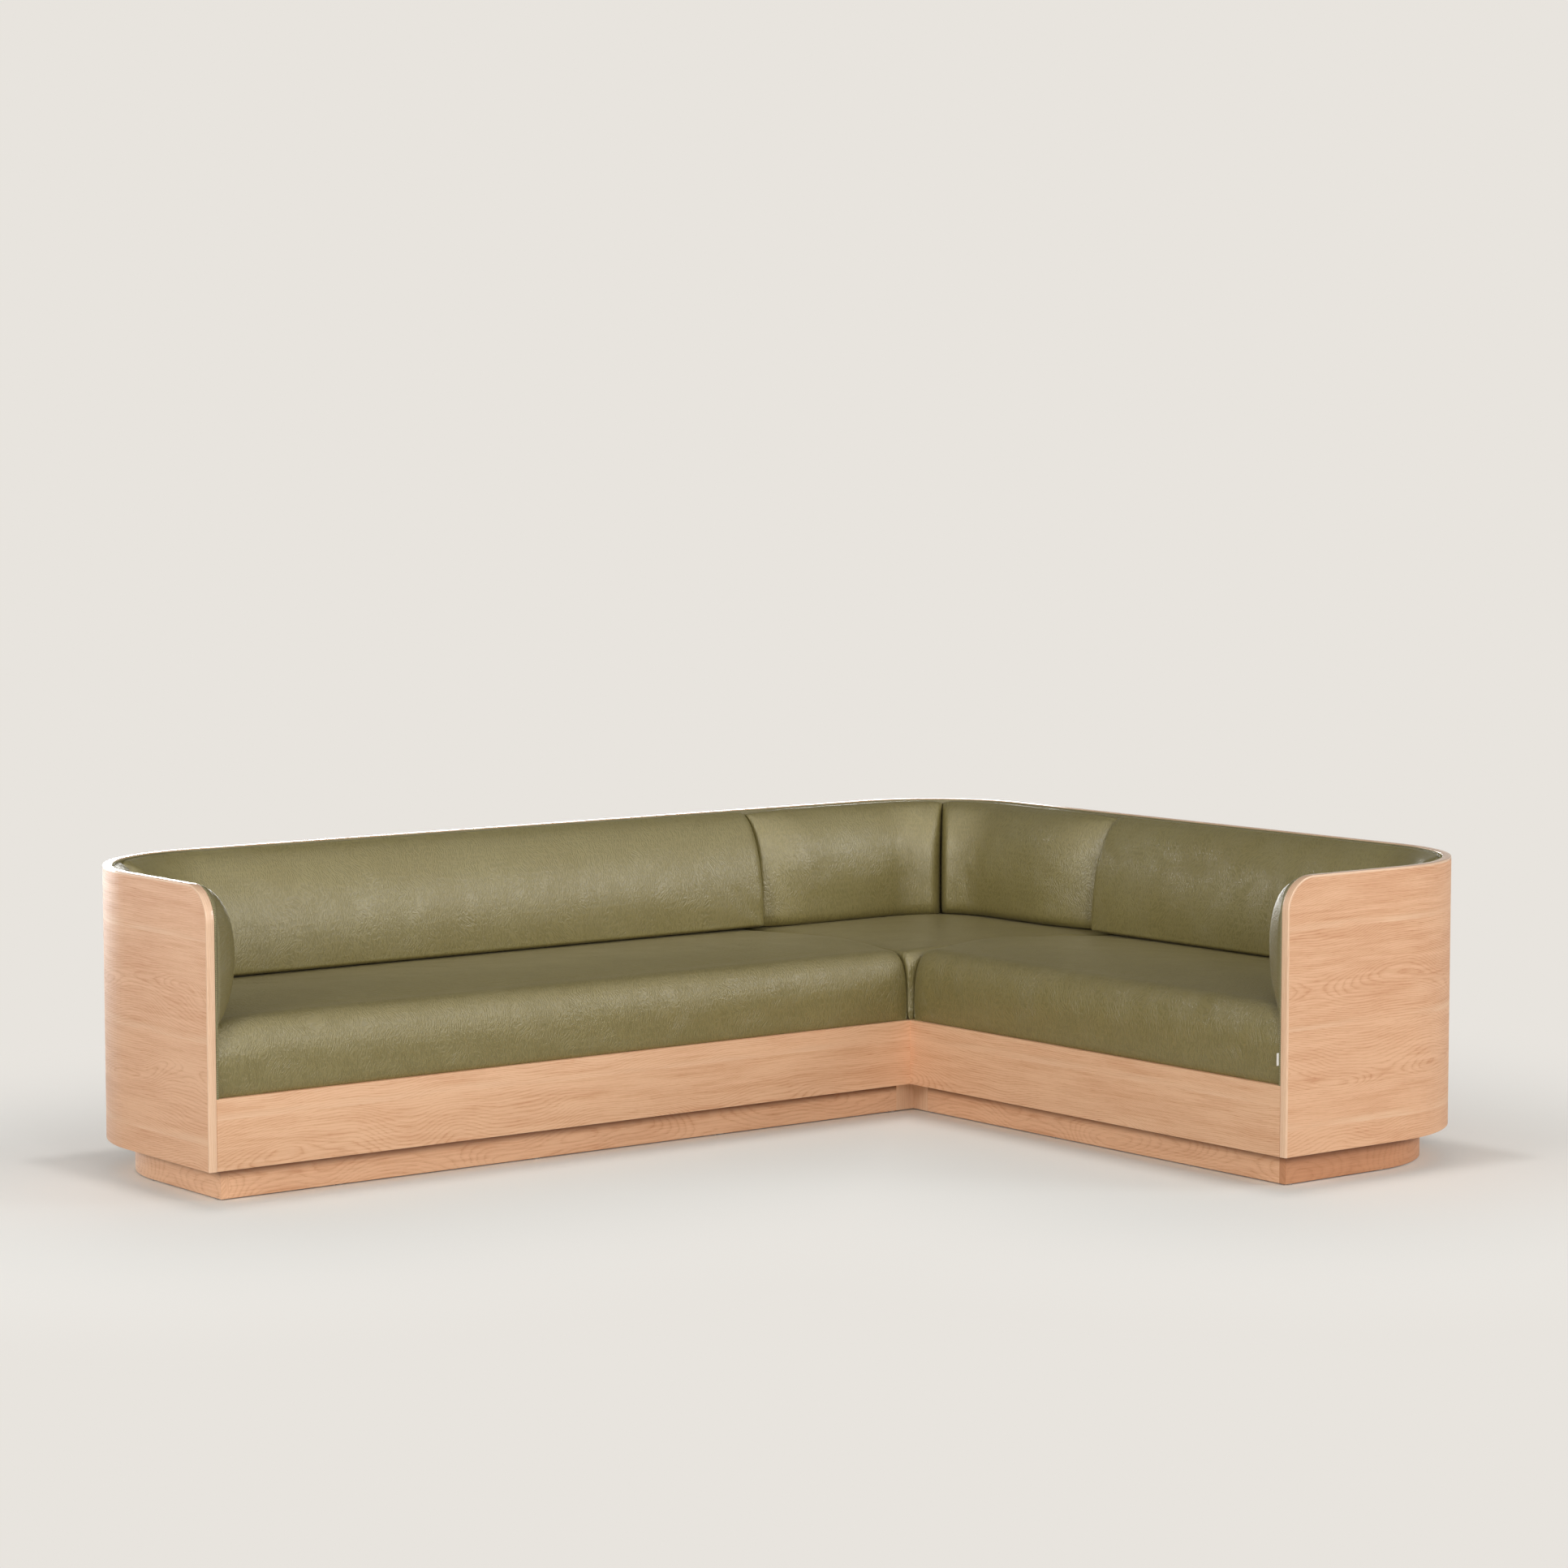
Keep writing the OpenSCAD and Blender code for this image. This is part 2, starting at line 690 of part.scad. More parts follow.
module corner_seat_foam() color("khaki") on_corner_right()
    seat_core(wing_d, 0, corner_first, corner_r, 0);

// Point of a wall at way s along the cushions' backs and at depth t in front of them
function wall_point(s, t, first, rad) =
    let (r = rad - soft_in, arc = r * PI / 2, a = (s - first) / r * 180 / PI)
    s < first ? [soft_in + t, s]
    : s < first + arc ? [rad - (r - t) * cos(a), first + (r - t) * sin(a)]
    : [rad + s - first - arc, first + r - t];

// Share of a cushion's thickness at the share q of its height
function belly(q, belly_share, tuck_share) = q >= belly_share
    ? sqrt(1 - pow((q - belly_share) / (1 - belly_share) * lip_share, 2))
    : tuck_share > 0 ? 1 - tuck_share * pow(1 - q / belly_share, 3)
    : sqrt(1 - pow((1 - q / belly_share) * lip_share, 2));

// Top of a pad at distance d from a front end, where it follows the arm's rounded corner
function under_arm_corner(d) = let (r = arm_top_r - pad_top_gap)
    d >= r ? 0 : r - sqrt(r * r - pow(r - d, 2));

function pad_stations(s0, s1) = let (n = max(2, round((s1 - s0) / pad_pitch))) concat(
    [for (k = [0 : end_steps - 1]) s0 + pad_end_round * (1 - cos(90 * k / end_steps))],
    [for (k = [0 : n]) mix(s0 + pad_end_round, s1 - pad_end_round, k / n)],
    [for (k = [1 : end_steps]) s1 - pad_end_round * (1 - sin(90 * k / end_steps))]);

function pad_ring(s, s0, s1, t, first, rad, belly_share, tuck_share, is_arm) =
    let (w0 = swell(s - s0, pad_end_round),
         w1 = swell(s1 - s, pad_end_round),
         thick = t * mix(is_arm ? front_end_share : seam_end_share, 1, w0)
                   * mix(seam_end_share, 1, w1),
         low = rest_z + fit_gap,
         high = pad_top - pad_corner_drop * (1 - w1)
                - (is_arm ? under_arm_corner(s - s0) : pad_corner_drop * (1 - w0)),
         front = [for (k = [0 : profile_steps]) let (q = (1 - cos(180 * k / profile_steps)) / 2)
             [thick * belly(q, belly_share, tuck_share), mix(low, high, q)]])
    [for (tz = concat(front, [[0, high], [0, low]]))
        let (p = wall_point(s, tz[0], first, rad)) [p[0], p[1], tz[1]]];

module pad_form(s0, s1, t, first, rad, belly_share, tuck_share, is_arm) loft(
    [for (s = pad_stations(s0, s1))
        pad_ring(s, s0, s1, t, first, rad, belly_share, tuck_share, is_arm)]);

// Foam cores of the cushions on the wall, open to the liner; g is the room round them
module pad_core(first, rad, v0, a0, a1, u1, depth, z0, z1, g)
    slab(z0 - g, z1 + g)
    wall_plan(first, rad, soft_in - (g > 0 ? overrun : 0), soft_in + depth + g,
              v0 - g, a0, a1, u1 + g);

end_arc = (end_r - soft_in) * PI / 4;
corner_arc = (corner_r - soft_in) * PI / 4;
back_core_t = back_t * 0.45;
back_core_z = rest_z + wadding_t;
back_core_top = pad_top - 2.6 * wadding_t;
arm_core_t = arm_pad_t * 0.45;
arm_core_z = rest_z + 1.6 * wadding_t;
arm_core_top = pad_top - 1.6 * wadding_t;
end_core_a = 45 + 15;       // angles in the curves at which cores start or stop
arm_core_a = 45 - 12;
corner_core_a = 45 - 15;

module arm_core(g) pad_core(end_first, end_r, arm_top_r, 0, arm_core_a, 0, arm_core_t,
                            arm_core_z, arm_core_top, g);

module back_core(run, g) pad_core(end_first, end_r, end_first + overrun, end_core_a, 90,
                                  run - wadding_t, back_core_t, back_core_z,
                                  back_core_top, g);

module corner_core(g) pad_core(corner_first, corner_r, seam_shift + 2 * wadding_t, 0,
                               corner_core_a, 0, back_core_t, back_core_z,
                               back_core_top, g);

module arm_pad() color("olive") difference() {
    pad_form(liner_back, end_first + end_arc - fit_gap, arm_pad_t, end_first, end_r,
             arm_belly_share, 0, true);
    arm_core(fit_gap);
}

module back_pad(run) color("olive") difference() {
    pad_form(end_first + end_arc + fit_gap, end_first + 2 * end_arc + run + seam_shift - end_r
             - fit_gap, back_t, end_first, end_r, back_belly_share, back_tuck_share, false);
    back_core(run, fit_gap);
}

module corner_pad() color("olive") difference() {
    pad_form(seam_shift + fit_gap, corner_first + corner_arc - fit_gap, back_t, corner_first,
             corner_r, back_belly_share, back_tuck_share, false);
    corner_core(fit_gap);
}

module left_arm_pad() on_long() arm_pad();

module right_arm_pad() on_short() arm_pad();

module long_back_cushion() on_long() back_pad(long_run);

module short_back_cushion() on_short() back_pad(short_run);

module corner_left_back_cushion() on_corner_left() corner_pad();

module corner_right_back_cushion() on_corner_right() corner_pad();

module long_back_foam() color("khaki") on_long() back_core(long_run, 0);

module short_back_foam() color("khaki") on_short() back_core(short_run, 0);

module corner_back_foams() color("khaki") both_corners() corner_core(0);

module arm_pad_foams() color("khaki") both_wings() arm_core(0);

// Blank cloth tag caught between the short seat and the arm's liner
module seam_tag() color("white") on_short()
    translate([liner_in + tag_room, -tag_out, tag_z - tag_h / 2])
    cube([fit_gap - 2 * tag_room, tag_out + seat_tuck, tag_h]);

left_arm_shell();
long_back_shell();
corner_shell();
short_back_shell();
right_arm_shell();
shell_splines();
left_arm_edge_band();
long_back_rim();
corner_rim();
short_back_rim();
right_arm_edge_band();
left_arm_liner();
long_back_liner();
corner_liner();
short_back_liner();
right_arm_liner();
long_apron();
short_apron();
plinth_long_front();
plinth_short_front();
plinth_inner_post();
plinth_left_end();
plinth_right_end();
plinth_long_back();
plinth_short_back();
plinth_corner();
plinth_cross_rails();
floor_glides();
long_base_board();
corner_base_board();
short_base_board();
base_screws();
long_front_rail();
short_front_rail();
long_back_rail();
short_back_rail();
seat_ribs();
rail_brackets();
bracket_screws();
wing_webbing();
corner_webbing();
seat_decks();
long_seat_cushion();
corner_seat_cushion();
short_seat_cushion();
long_seat_foam();
corner_seat_foam();
short_seat_foam();
long_back_cushion();
corner_left_back_cushion();
corner_right_back_cushion();
short_back_cushion();
left_arm_pad();
right_arm_pad();
long_back_foam();
corner_back_foams();
short_back_foam();
arm_pad_foams();
seam_tag();
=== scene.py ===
import math
import bmesh
import bpy
from mathutils import Matrix, Vector


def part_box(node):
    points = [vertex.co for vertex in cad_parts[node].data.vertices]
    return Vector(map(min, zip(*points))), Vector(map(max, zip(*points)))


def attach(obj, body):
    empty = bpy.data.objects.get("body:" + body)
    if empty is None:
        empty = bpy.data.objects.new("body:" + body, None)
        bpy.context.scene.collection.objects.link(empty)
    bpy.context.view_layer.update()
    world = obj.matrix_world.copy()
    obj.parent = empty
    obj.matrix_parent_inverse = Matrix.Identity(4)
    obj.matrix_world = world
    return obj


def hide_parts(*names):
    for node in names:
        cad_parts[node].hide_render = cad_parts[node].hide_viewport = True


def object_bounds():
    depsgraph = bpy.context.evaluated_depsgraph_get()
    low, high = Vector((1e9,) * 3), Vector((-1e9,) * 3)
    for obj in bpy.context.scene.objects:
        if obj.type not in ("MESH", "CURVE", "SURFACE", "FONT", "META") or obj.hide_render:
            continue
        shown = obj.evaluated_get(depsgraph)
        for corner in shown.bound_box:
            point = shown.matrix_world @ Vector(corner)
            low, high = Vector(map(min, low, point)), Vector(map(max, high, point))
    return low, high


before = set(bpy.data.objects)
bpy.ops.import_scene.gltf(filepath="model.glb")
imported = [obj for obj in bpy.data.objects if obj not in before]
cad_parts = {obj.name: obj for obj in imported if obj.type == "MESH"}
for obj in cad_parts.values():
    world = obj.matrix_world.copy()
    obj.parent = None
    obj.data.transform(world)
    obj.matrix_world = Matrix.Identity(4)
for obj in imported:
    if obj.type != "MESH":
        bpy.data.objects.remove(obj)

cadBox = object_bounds()
mm = 0.001

# The sofa's driving places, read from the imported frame, in metres
low, high = cadBox
halfWide, halfDeep, topZ = high.x, high.y, high.z
rimLow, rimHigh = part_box("long_back_rim")
apronLow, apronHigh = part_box("long_apron")
bandZ = rimLow.z                          # underside of the solid rim
shellZ, seatZ = apronLow.z, apronHigh.z   # undersides of the shell and of the seats
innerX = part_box("short_apron")[0].x
innerY = apronLow.y
wallT = rimHigh.y - rimLow.y
endRad = rimLow.x - low.x
cornerRad = high.x - rimHigh.x
wingDeep = halfDeep - innerY
longRun, shortRun = 2 * halfWide - wingDeep, 2 * halfDeep - wingDeep
endFirst, cornerFirst = wingDeep - endRad, wingDeep - cornerRad
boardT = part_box("short_apron")[1].x - innerX
linerLow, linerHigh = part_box("long_back_liner")
wallIn, linerIn = halfDeep - linerHigh.y, halfDeep - linerLow.y
linerZ = linerHigh.z
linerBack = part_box("left_arm_liner")[0].y - innerY
softIn = linerIn + 0.3 * mm
seamShift = wallT + linerIn - wallIn
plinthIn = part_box("plinth_left_end")[0].x - low.x
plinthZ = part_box("plinth_left_end")[0].z
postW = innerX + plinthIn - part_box("plinth_inner_post")[0].x
armTopRad = 80 * mm
bandT = topZ - bandZ
print("frame read: ", [round(v, 3) for v in (2 * halfWide, 2 * halfDeep, topZ)])


# Places of the wings: each piece is made with the arm at u = 0 and the front at v = 0
swap = Matrix(((0, 1, 0, 0), (1, 0, 0, 0), (0, 0, 1, 0), (0, 0, 0, 1)))
onLong = Matrix.Translation((-halfWide, innerY, 0))
onShort = Matrix.Translation((innerX, -halfDeep, 0)) @ swap
onCornerRight = Matrix.Translation((halfWide, innerY, 0)) @ Matrix.Diagonal((-1, 1, 1, 1))
onCornerLeft = Matrix.Translation((innerX, halfDeep, 0)) @ Matrix.Rotation(-math.pi / 2, 4, "Z")


# Materials. Colours are written as sRGB hex, and one function makes them linear
def linear(hexText):
    parts = [int(hexText[i:i + 2], 16) / 255 for i in (1, 3, 5)]
    return tuple(c / 12.92 if c <= 0.04045 else ((c + 0.055) / 1.055) ** 2.4
                 for c in parts) + (1.0,)


# Adds any node with its settings, its links (a node, a socket or a value) and a ramp's stops
def addNode(tree, kind, links=None, stops=(), **settings):
    made = tree.nodes.new("ShaderNode" + kind)
    for key, value in settings.items():
        setattr(made, key, value)
    for key, value in (links or {}).items():
        if isinstance(value, bpy.types.Node):
            value = value.outputs[0]
        if isinstance(value, bpy.types.NodeSocket):
            tree.links.new(value, made.inputs[key])
        else:
            made.inputs[key].default_value = value
    if stops:
        row = made.color_ramp.elements
        while len(row) < len(stops):
            row.new(1.0)
        for element, (at, colour) in zip(row, stops):
            element.position = at
            element.color = linear(colour) if isinstance(colour, str) else (colour,) * 3 + (1.0,)
    return made


def startMaterial(name, colour, roughness, **sockets):
    made = bpy.data.materials.new(name)
    made.use_nodes = True
    made.diffuse_color = linear(colour)
    shader = made.node_tree.nodes["Principled BSDF"]
    shader.inputs["Base Color"].default_value = linear(colour)
    shader.inputs["Roughness"].default_value = roughness
    for key, value in sockets.items():
        shader.inputs[key].default_value = value
    return made, made.node_tree, shader


# White oak under matt oil: flat-sawn leaves laid edge to edge, with cathedral figure, open pores
# drawn out along the grain and a pale line of sapwood over each joint. The eye sees a low, broken
# gloss. The UV map runs along the grain and across it, in metres.
veneerLook = {"light": "#E2B48F", "dark": "#BA7A50", "pale": "#EECDAB", "roughness": 0.5,
              "leaf": 222, "joint": 58, "pith": 30, "swing": 150, "ring": 4.6, "wander": 2.4,
              "contrast": 0.46, "streak": 0.38, "fibre": 0.4, "leafTone": 0.2, "sap": 0.6, "coat": 0, "paintedShade": (9e5, 1e6)}   # mm for leaf, joint, pith, swing, ring


def oak(name, look):
    made, tree, shader = startMaterial(name, look["light"], look["roughness"],
                                       **{"Specular IOR Level": 0.4, "Coat Weight": look["coat"],
                                          "Coat Roughness": 0.12})
    uv = addNode(tree, "TexCoord").outputs["UV"]
    way = addNode(tree, "SeparateXYZ", {0: uv}).outputs     # along the grain, across it
    leafHigh = look["leaf"] * mm
    place = addNode(tree, "Math", {0: way[1], 1: 1 / leafHigh, 2: -look["joint"] / look["leaf"]},
                    operation="MULTIPLY_ADD")
    leaf = addNode(tree, "Math", {0: place}, operation="FLOOR")
    share = addNode(tree, "Math", {0: place}, operation="FRACT")     # 0 to 1 across one leaf
    chance = addNode(tree, "TexWhiteNoise", {"W": leaf}, noise_dimensions="1D")
    chances = addNode(tree, "SeparateColor", {0: chance.outputs["Color"]}).outputs

    # The pith wanders beside and under the cut, which opens and closes the cathedrals
    cut = addNode(tree, "CombineXYZ", {0: way[0], 1: way[1], 2: leaf})
    cut = addNode(tree, "Mapping", {"Vector": cut, "Scale": (look["wander"], look["wander"] * 1.5, 7.31)})
    drift = addNode(tree, "TexNoise", {"Vector": cut, "Scale": 1.0, "Detail": 1.5, "Roughness": 0.4})
    drifts = addNode(tree, "SeparateColor", {0: drift.outputs["Color"]}).outputs
    middle = addNode(tree, "Math", {0: chances[0], 1: 0.5, 2: -0.1}, operation="MULTIPLY_ADD")
    middle = addNode(tree, "Math", {0: drifts[0], 1: 0.8, 2: middle}, operation="MULTIPLY_ADD")
    beside = addNode(tree, "Math", {0: share, 1: middle}, operation="SUBTRACT")
    beside = addNode(tree, "Math", {0: beside, 1: look["leaf"]}, operation="MULTIPLY")
    under = addNode(tree, "Math", {0: drifts[1], 1: look["swing"], 2: look["pith"] - look["swing"] / 2},
                    operation="MULTIPLY_ADD")
    pith = addNode(tree, "CombineXYZ", {0: beside, 1: under})
    reach = addNode(tree, "VectorMath", {0: pith}, operation="LENGTH").outputs["Value"]
    wavy = addNode(tree, "Mapping", {"Vector": uv, "Scale": (11, 70, 1)})
    wavy = addNode(tree, "TexNoise", {"Vector": wavy, "Scale": 1.0, "Detail": 3.0, "Roughness": 0.55})
    rings = addNode(tree, "Math", {0: reach, 1: 1 / look["ring"], 2: wavy}, operation="MULTIPLY_ADD")
    rings = addNode(tree, "Math", {0: rings}, operation="FRACT")
    rings = addNode(tree, "ValToRGB", {0: rings},
                    [(0.0, 0.8), (0.1, 0.3), (0.4, 0.1), (0.75, 0.3), (1.0, 0.8)])

    # Pores are dashes 1 mm wide and 25 mm long, coarser than the real ones so that they show
    pores = addNode(tree, "Mapping", {"Vector": uv, "Scale": (40, 1000, 1)})
    pores = addNode(tree, "TexNoise", {"Vector": pores, "Scale": 1.0, "Detail": 2.0, "Roughness": 0.6})
    pores = addNode(tree, "ValToRGB", {0: pores}, [(0.5, 0.0), (0.68, 1.0)])
    fibre = addNode(tree, "Mapping", {"Vector": uv, "Scale": (6, 240, 1)})
    fibre = addNode(tree, "TexNoise", {"Vector": fibre, "Scale": 1.0, "Detail": 4.0, "Roughness": 0.65})
    fibre = addNode(tree, "MapRange", {"Value": fibre, "From Min": 0.34, "From Max": 0.66})
    cloud = addNode(tree, "Mapping", {"Vector": uv, "Scale": (4, 34, 1)})
    cloud = addNode(tree, "TexNoise", {"Vector": cloud, "Scale": 1.0, "Detail": 3.0, "Roughness": 0.6})
    cloud = addNode(tree, "MapRange", {"Value": cloud, "From Min": 0.3, "From Max": 0.7})

    dark = addNode(tree, "Math", {0: rings, 1: look["contrast"], 2: -0.23 - look["streak"] / 2}, operation="MULTIPLY_ADD")
    dark = addNode(tree, "Math", {0: fibre, 1: look["fibre"], 2: dark}, operation="MULTIPLY_ADD")
    dark = addNode(tree, "Math", {0: cloud, 1: look["streak"], 2: dark}, operation="MULTIPLY_ADD")
    dark = addNode(tree, "Math", {0: chances[1], 1: look["leafTone"], 2: dark}, operation="MULTIPLY_ADD")
    lined = addNode(tree, "Math", {0: rings, 1: 0.4, 2: 0.1}, operation="MULTIPLY_ADD")
    dark = addNode(tree, "Math", {0: pores, 1: lined, 2: dark}, operation="MULTIPLY_ADD", use_clamp=True)
    tone = addNode(tree, "Mix", {0: dark, 6: linear(look["light"]), 7: linear(look["dark"])},
                   data_type="RGBA")
    edge = addNode(tree, "Math", {0: drifts[2], 1: 0.13, 2: -0.065}, operation="MULTIPLY_ADD")
    edge = addNode(tree, "Math", {0: share, 1: edge}, operation="ADD")
    edge = addNode(tree, "ValToRGB", {0: edge}, [(0.0, 1.0), (0.035, 0.8), (0.085, 0.0), (0.99, 0.0)])
    faint = addNode(tree, "MapRange", {"Value": cloud, "From Min": 0.2, "From Max": 0.8,
                                       "To Max": look["sap"]})
    edge = addNode(tree, "Math", {0: edge, 1: faint}, operation="MULTIPLY")
    tone = addNode(tree, "Mix", {0: edge, 6: tone.outputs[2], 7: linear(look["pale"])}, data_type="RGBA")
    # Painted shade under the shell's overhang: from the first height up the colour darkens towards deep brown, nine
    # tenths of the way by the second height (mm)
    start, end = look["paintedShade"]
    paintedShade = addNode(tree, "SeparateXYZ", {0: addNode(tree, "TexCoord").outputs["Object"]})
    paintedShade = addNode(tree, "MapRange", {"Value": paintedShade.outputs["Z"], "From Min": start * mm, "From Max": end * mm,
                                       "To Max": 0.9}, interpolation_type="SMOOTHSTEP")
    tone = addNode(tree, "Mix", {0: paintedShade, 6: tone.outputs[2], 7: linear("#6B3A20")}, data_type="RGBA")
    tree.links.new(tone.outputs[2], shader.inputs["Base Color"])
    gloss = addNode(tree, "Math", {0: fibre, 1: 0.06, 2: look["roughness"] - 0.03},
                    operation="MULTIPLY_ADD")
    tree.links.new(gloss.outputs[0], shader.inputs["Roughness"])
    height = addNode(tree, "Math", {0: pores, 1: -1.5, 2: fibre}, operation="MULTIPLY_ADD")
    bump = addNode(tree, "Bump", {"Height": height, "Strength": 0.2, "Distance": 0.05 * mm})
    tree.links.new(bump.outputs[0], shader.inputs["Normal"])
    return made


oakVeneer = oak("oak_veneer_oiled", veneerLook)
# The aprons' copy: calmer leaves and fainter joint lines, and a tone a touch lighter, which is painted light
oakApron = oak("oak_veneer_apron", dict(veneerLook, light="#E3B792", joint=111, leafTone=0.12, sap=0.4))
# The plinth boards, paler, with painted shade at their tops under the shell
oakPlinth = oak("oak_plinth_oiled", dict(veneerLook, light="#E8BB96", joint=-90, pith=70, contrast=0.35, sap=0, paintedShade=(44, 69)))
oakShade = oak("oak_plinth_end_painted_shade", dict(   # a darker copy at the right end alone, as painted shade
    veneerLook, light="#C58F6A", dark="#A0683F", joint=-90, pith=90, contrast=0.3, sap=0, paintedShade=(44, 69)))
oakSolid = oak("oak_solid_edge", dict(   # straight-grained, lighter, with a thin film of lacquer
    veneerLook, light="#E8C19F", dark="#C08A64", leaf=400, joint=-40, pith=260, swing=60, ring=3.2,
    wander=0.7, contrast=0.35, leafTone=0, sap=0, coat=0.7))


# Drum-dyed cow hide, pigmented and waxed: short creases that run mostly down the hide and bend
# with it, over a fine pebble. The eye sees soft broad highlights, and painted shade darkens the
# hide round the raised creases. The UV map is in metres, across the hide and down it.
leatherLook = {"tone": "#877C4E", "deep": "#675E34", "worn": "#8B8154", "roughness": 0.34,
               "crease": (5.2, 18), "pebble": (3.0, 4.2), "bend": (110, 90), "relief": 0.44}   # mm


def leather(name, look):
    made, tree, shader = startMaterial(name, look["tone"], look["roughness"], **{
        "Specular IOR Level": 0.5, "Sheen Weight": 0.03, "Sheen Roughness": 0.3})
    uv = addNode(tree, "TexCoord").outputs["UV"]
    bendEvery, bendBy = look["bend"]
    flow = addNode(tree, "TexNoise", {"Vector": uv, "Scale": 1 / (bendEvery * mm), "Detail": 1.0})
    bent = addNode(tree, "VectorMath", {0: flow.outputs["Color"], 1: (bendBy * mm, bendBy * mm / 3, 0),
                                        2: uv}, operation="MULTIPLY_ADD")
    wide, long = look["crease"]
    crease = addNode(tree, "Mapping", {"Vector": bent, "Scale": (1 / (wide * mm), 1 / (long * mm), 1)})
    crease = addNode(tree, "TexNoise", {"Vector": crease, "Scale": 1.0, "Detail": 1.0,
                                        "Roughness": 0.4}, noise_dimensions="2D")
    crease = addNode(tree, "ValToRGB", {0: crease},
                     [(0.0, 0.0), (0.33, 0.0), (0.5, 1.0), (0.67, 0.0), (1.0, 0.0)])
    wide, long = look["pebble"]
    pebble = addNode(tree, "Mapping", {"Vector": bent, "Scale": (1 / (wide * mm), 1 / (long * mm), 1)})
    pebble = addNode(tree, "TexVoronoi", {"Vector": pebble, "Scale": 1.0}, feature="DISTANCE_TO_EDGE",
                     voronoi_dimensions="2D")
    pebble = addNode(tree, "ValToRGB", {0: pebble}, [(0.0, 0.0), (0.3, 1.0)])
    patchy = addNode(tree, "TexNoise", {"Vector": uv, "Scale": 14.0, "Detail": 2.0})
    strong = addNode(tree, "MapRange", {"Value": patchy, "From Min": 0.3, "From Max": 0.7,
                                        "To Min": 0.9, "To Max": 1.05})
    height = addNode(tree, "Math", {0: pebble, 1: 0.25}, operation="MULTIPLY")
    height = addNode(tree, "Math", {0: crease, 1: 0.9, 2: height}, operation="MULTIPLY_ADD")
    relief = addNode(tree, "Math", {0: height, 1: strong}, operation="MULTIPLY")
    bump = addNode(tree, "Bump", {"Height": relief, "Strength": 1.0, "Distance": look["relief"] * mm})
    tree.links.new(bump.outputs[0], shader.inputs["Normal"])

    broad = addNode(tree, "TexNoise", {"Vector": uv, "Scale": 5.0, "Detail": 3.0})
    broad = addNode(tree, "ValToRGB", {0: broad}, [(0.35, 0.0), (0.7, 1.0)])
    hide = addNode(tree, "Mix", {0: broad, 6: linear(look["tone"]), 7: linear(look["worn"])},
                   data_type="RGBA")
    # Painted shade: the deep colour darkens the hide where its relief is low
    lowShade = addNode(tree, "MapRange", {"Value": height, "From Min": 0.0, "From Max": 0.9,
                                        "To Min": 0.48, "To Max": 0.0})
    hide = addNode(tree, "Mix", {0: lowShade, 6: hide.outputs[2], 7: linear(look["deep"])},
                   data_type="RGBA")
    tree.links.new(hide.outputs[2], shader.inputs["Base Color"])
    gloss = addNode(tree, "Math", {0: patchy, 1: 0.05, 2: look["roughness"] - 0.025},
                    operation="MULTIPLY_ADD")
    tree.links.new(gloss.outputs[0], shader.inputs["Roughness"])
    return made


# The seats take a darker copy of the hide, which is painted shade
seatLeather = leather("leather_seat_olive", dict(leatherLook, tone="#7E7347", worn="#82774B", relief=0.5))
backLeather = leather("leather_back_olive", dict(leatherLook, crease=(5.0, 16), roughness=0.33, relief=0.36))
# The arm pads and liners take a darker copy of the hide, which is painted shade, with finer creases and less gloss
armLeather = leather("leather_arm_olive", dict(
    leatherLook, tone="#6A613B", worn="#6F6640", crease=(4.0, 12), relief=0.3, roughness=0.42))


# Plainer finishes, each with a fine grit of its own: how coarse and how deep, in mm
def plain(name, colour, lighter, darker, roughness, grit, relief, **sockets):
    made, tree, shader = startMaterial(name, colour, roughness, **sockets)
    place = addNode(tree, "TexCoord").outputs["Object"]
    speck = addNode(tree, "TexNoise", {"Vector": place, "Scale": 1 / (grit * mm), "Detail": 3.0})
    tones = addNode(tree, "ValToRGB", {0: speck}, [(0.3, darker), (0.7, lighter)])
    tree.links.new(tones.outputs[0], shader.inputs["Base Color"])
    bump = addNode(tree, "Bump", {"Height": speck, "Strength": 0.5, "Distance": relief * mm})
    tree.links.new(bump.outputs[0], shader.inputs["Normal"])
    return made


# Birch plywood, sanded: pale, warm and matt
birch = plain("birch_plywood", "#D8BE93", "#E0C79E", "#B79F78", 0.6, 14, 0.1)
# Zinc-plated steel: a cool grey spangle under a soft metal gloss
zinc = plain("steel_zinc_plated", "#B9BBBC", "#C7C9CA", "#989A9B", 0.34, 6, 0.05, Metallic=1.0)
# Moulded nylon: mid grey with a fine spark-eroded matt, lost in the shadow under the plinth
nylon = plain("glide_nylon_moulded", "#8A847C", "#918B83", "#7D7770", 0.45, 1.5, 0.08)
# Woven jute webbing: dull brown yarns
webbing = plain("webbing_jute_woven", "#5F5A4C", "#6B6555", "#49453A", 0.85, 2, 0.4)
# Moulded foam: cream, open-celled and without gloss
foam = plain("foam_moulded", "#E6DDB8", "#EFE7C6", "#CBC29D", 0.9, 3, 0.5)
# Waxed polyester thread: a shade lighter than the hide, catching the light on each stitch
thread = plain("thread_waxed_olive", "#8F8861", "#9A936C", "#756F4D", 0.6, 0.8, 0.1)
# Cotton tape: plain white and matt
cotton = plain("tag_cotton_white", "#F2F1ED", "#F6F5F2", "#E2E1DC", 0.85, 0.6, 0.1)


# Mesh tools
def newShape():
    shape = bmesh.new()
    shape.verts.layers.float.new("along")
    shape.verts.layers.float.new("around")
    shape.loops.layers.uv.new("UVMap")
    return shape


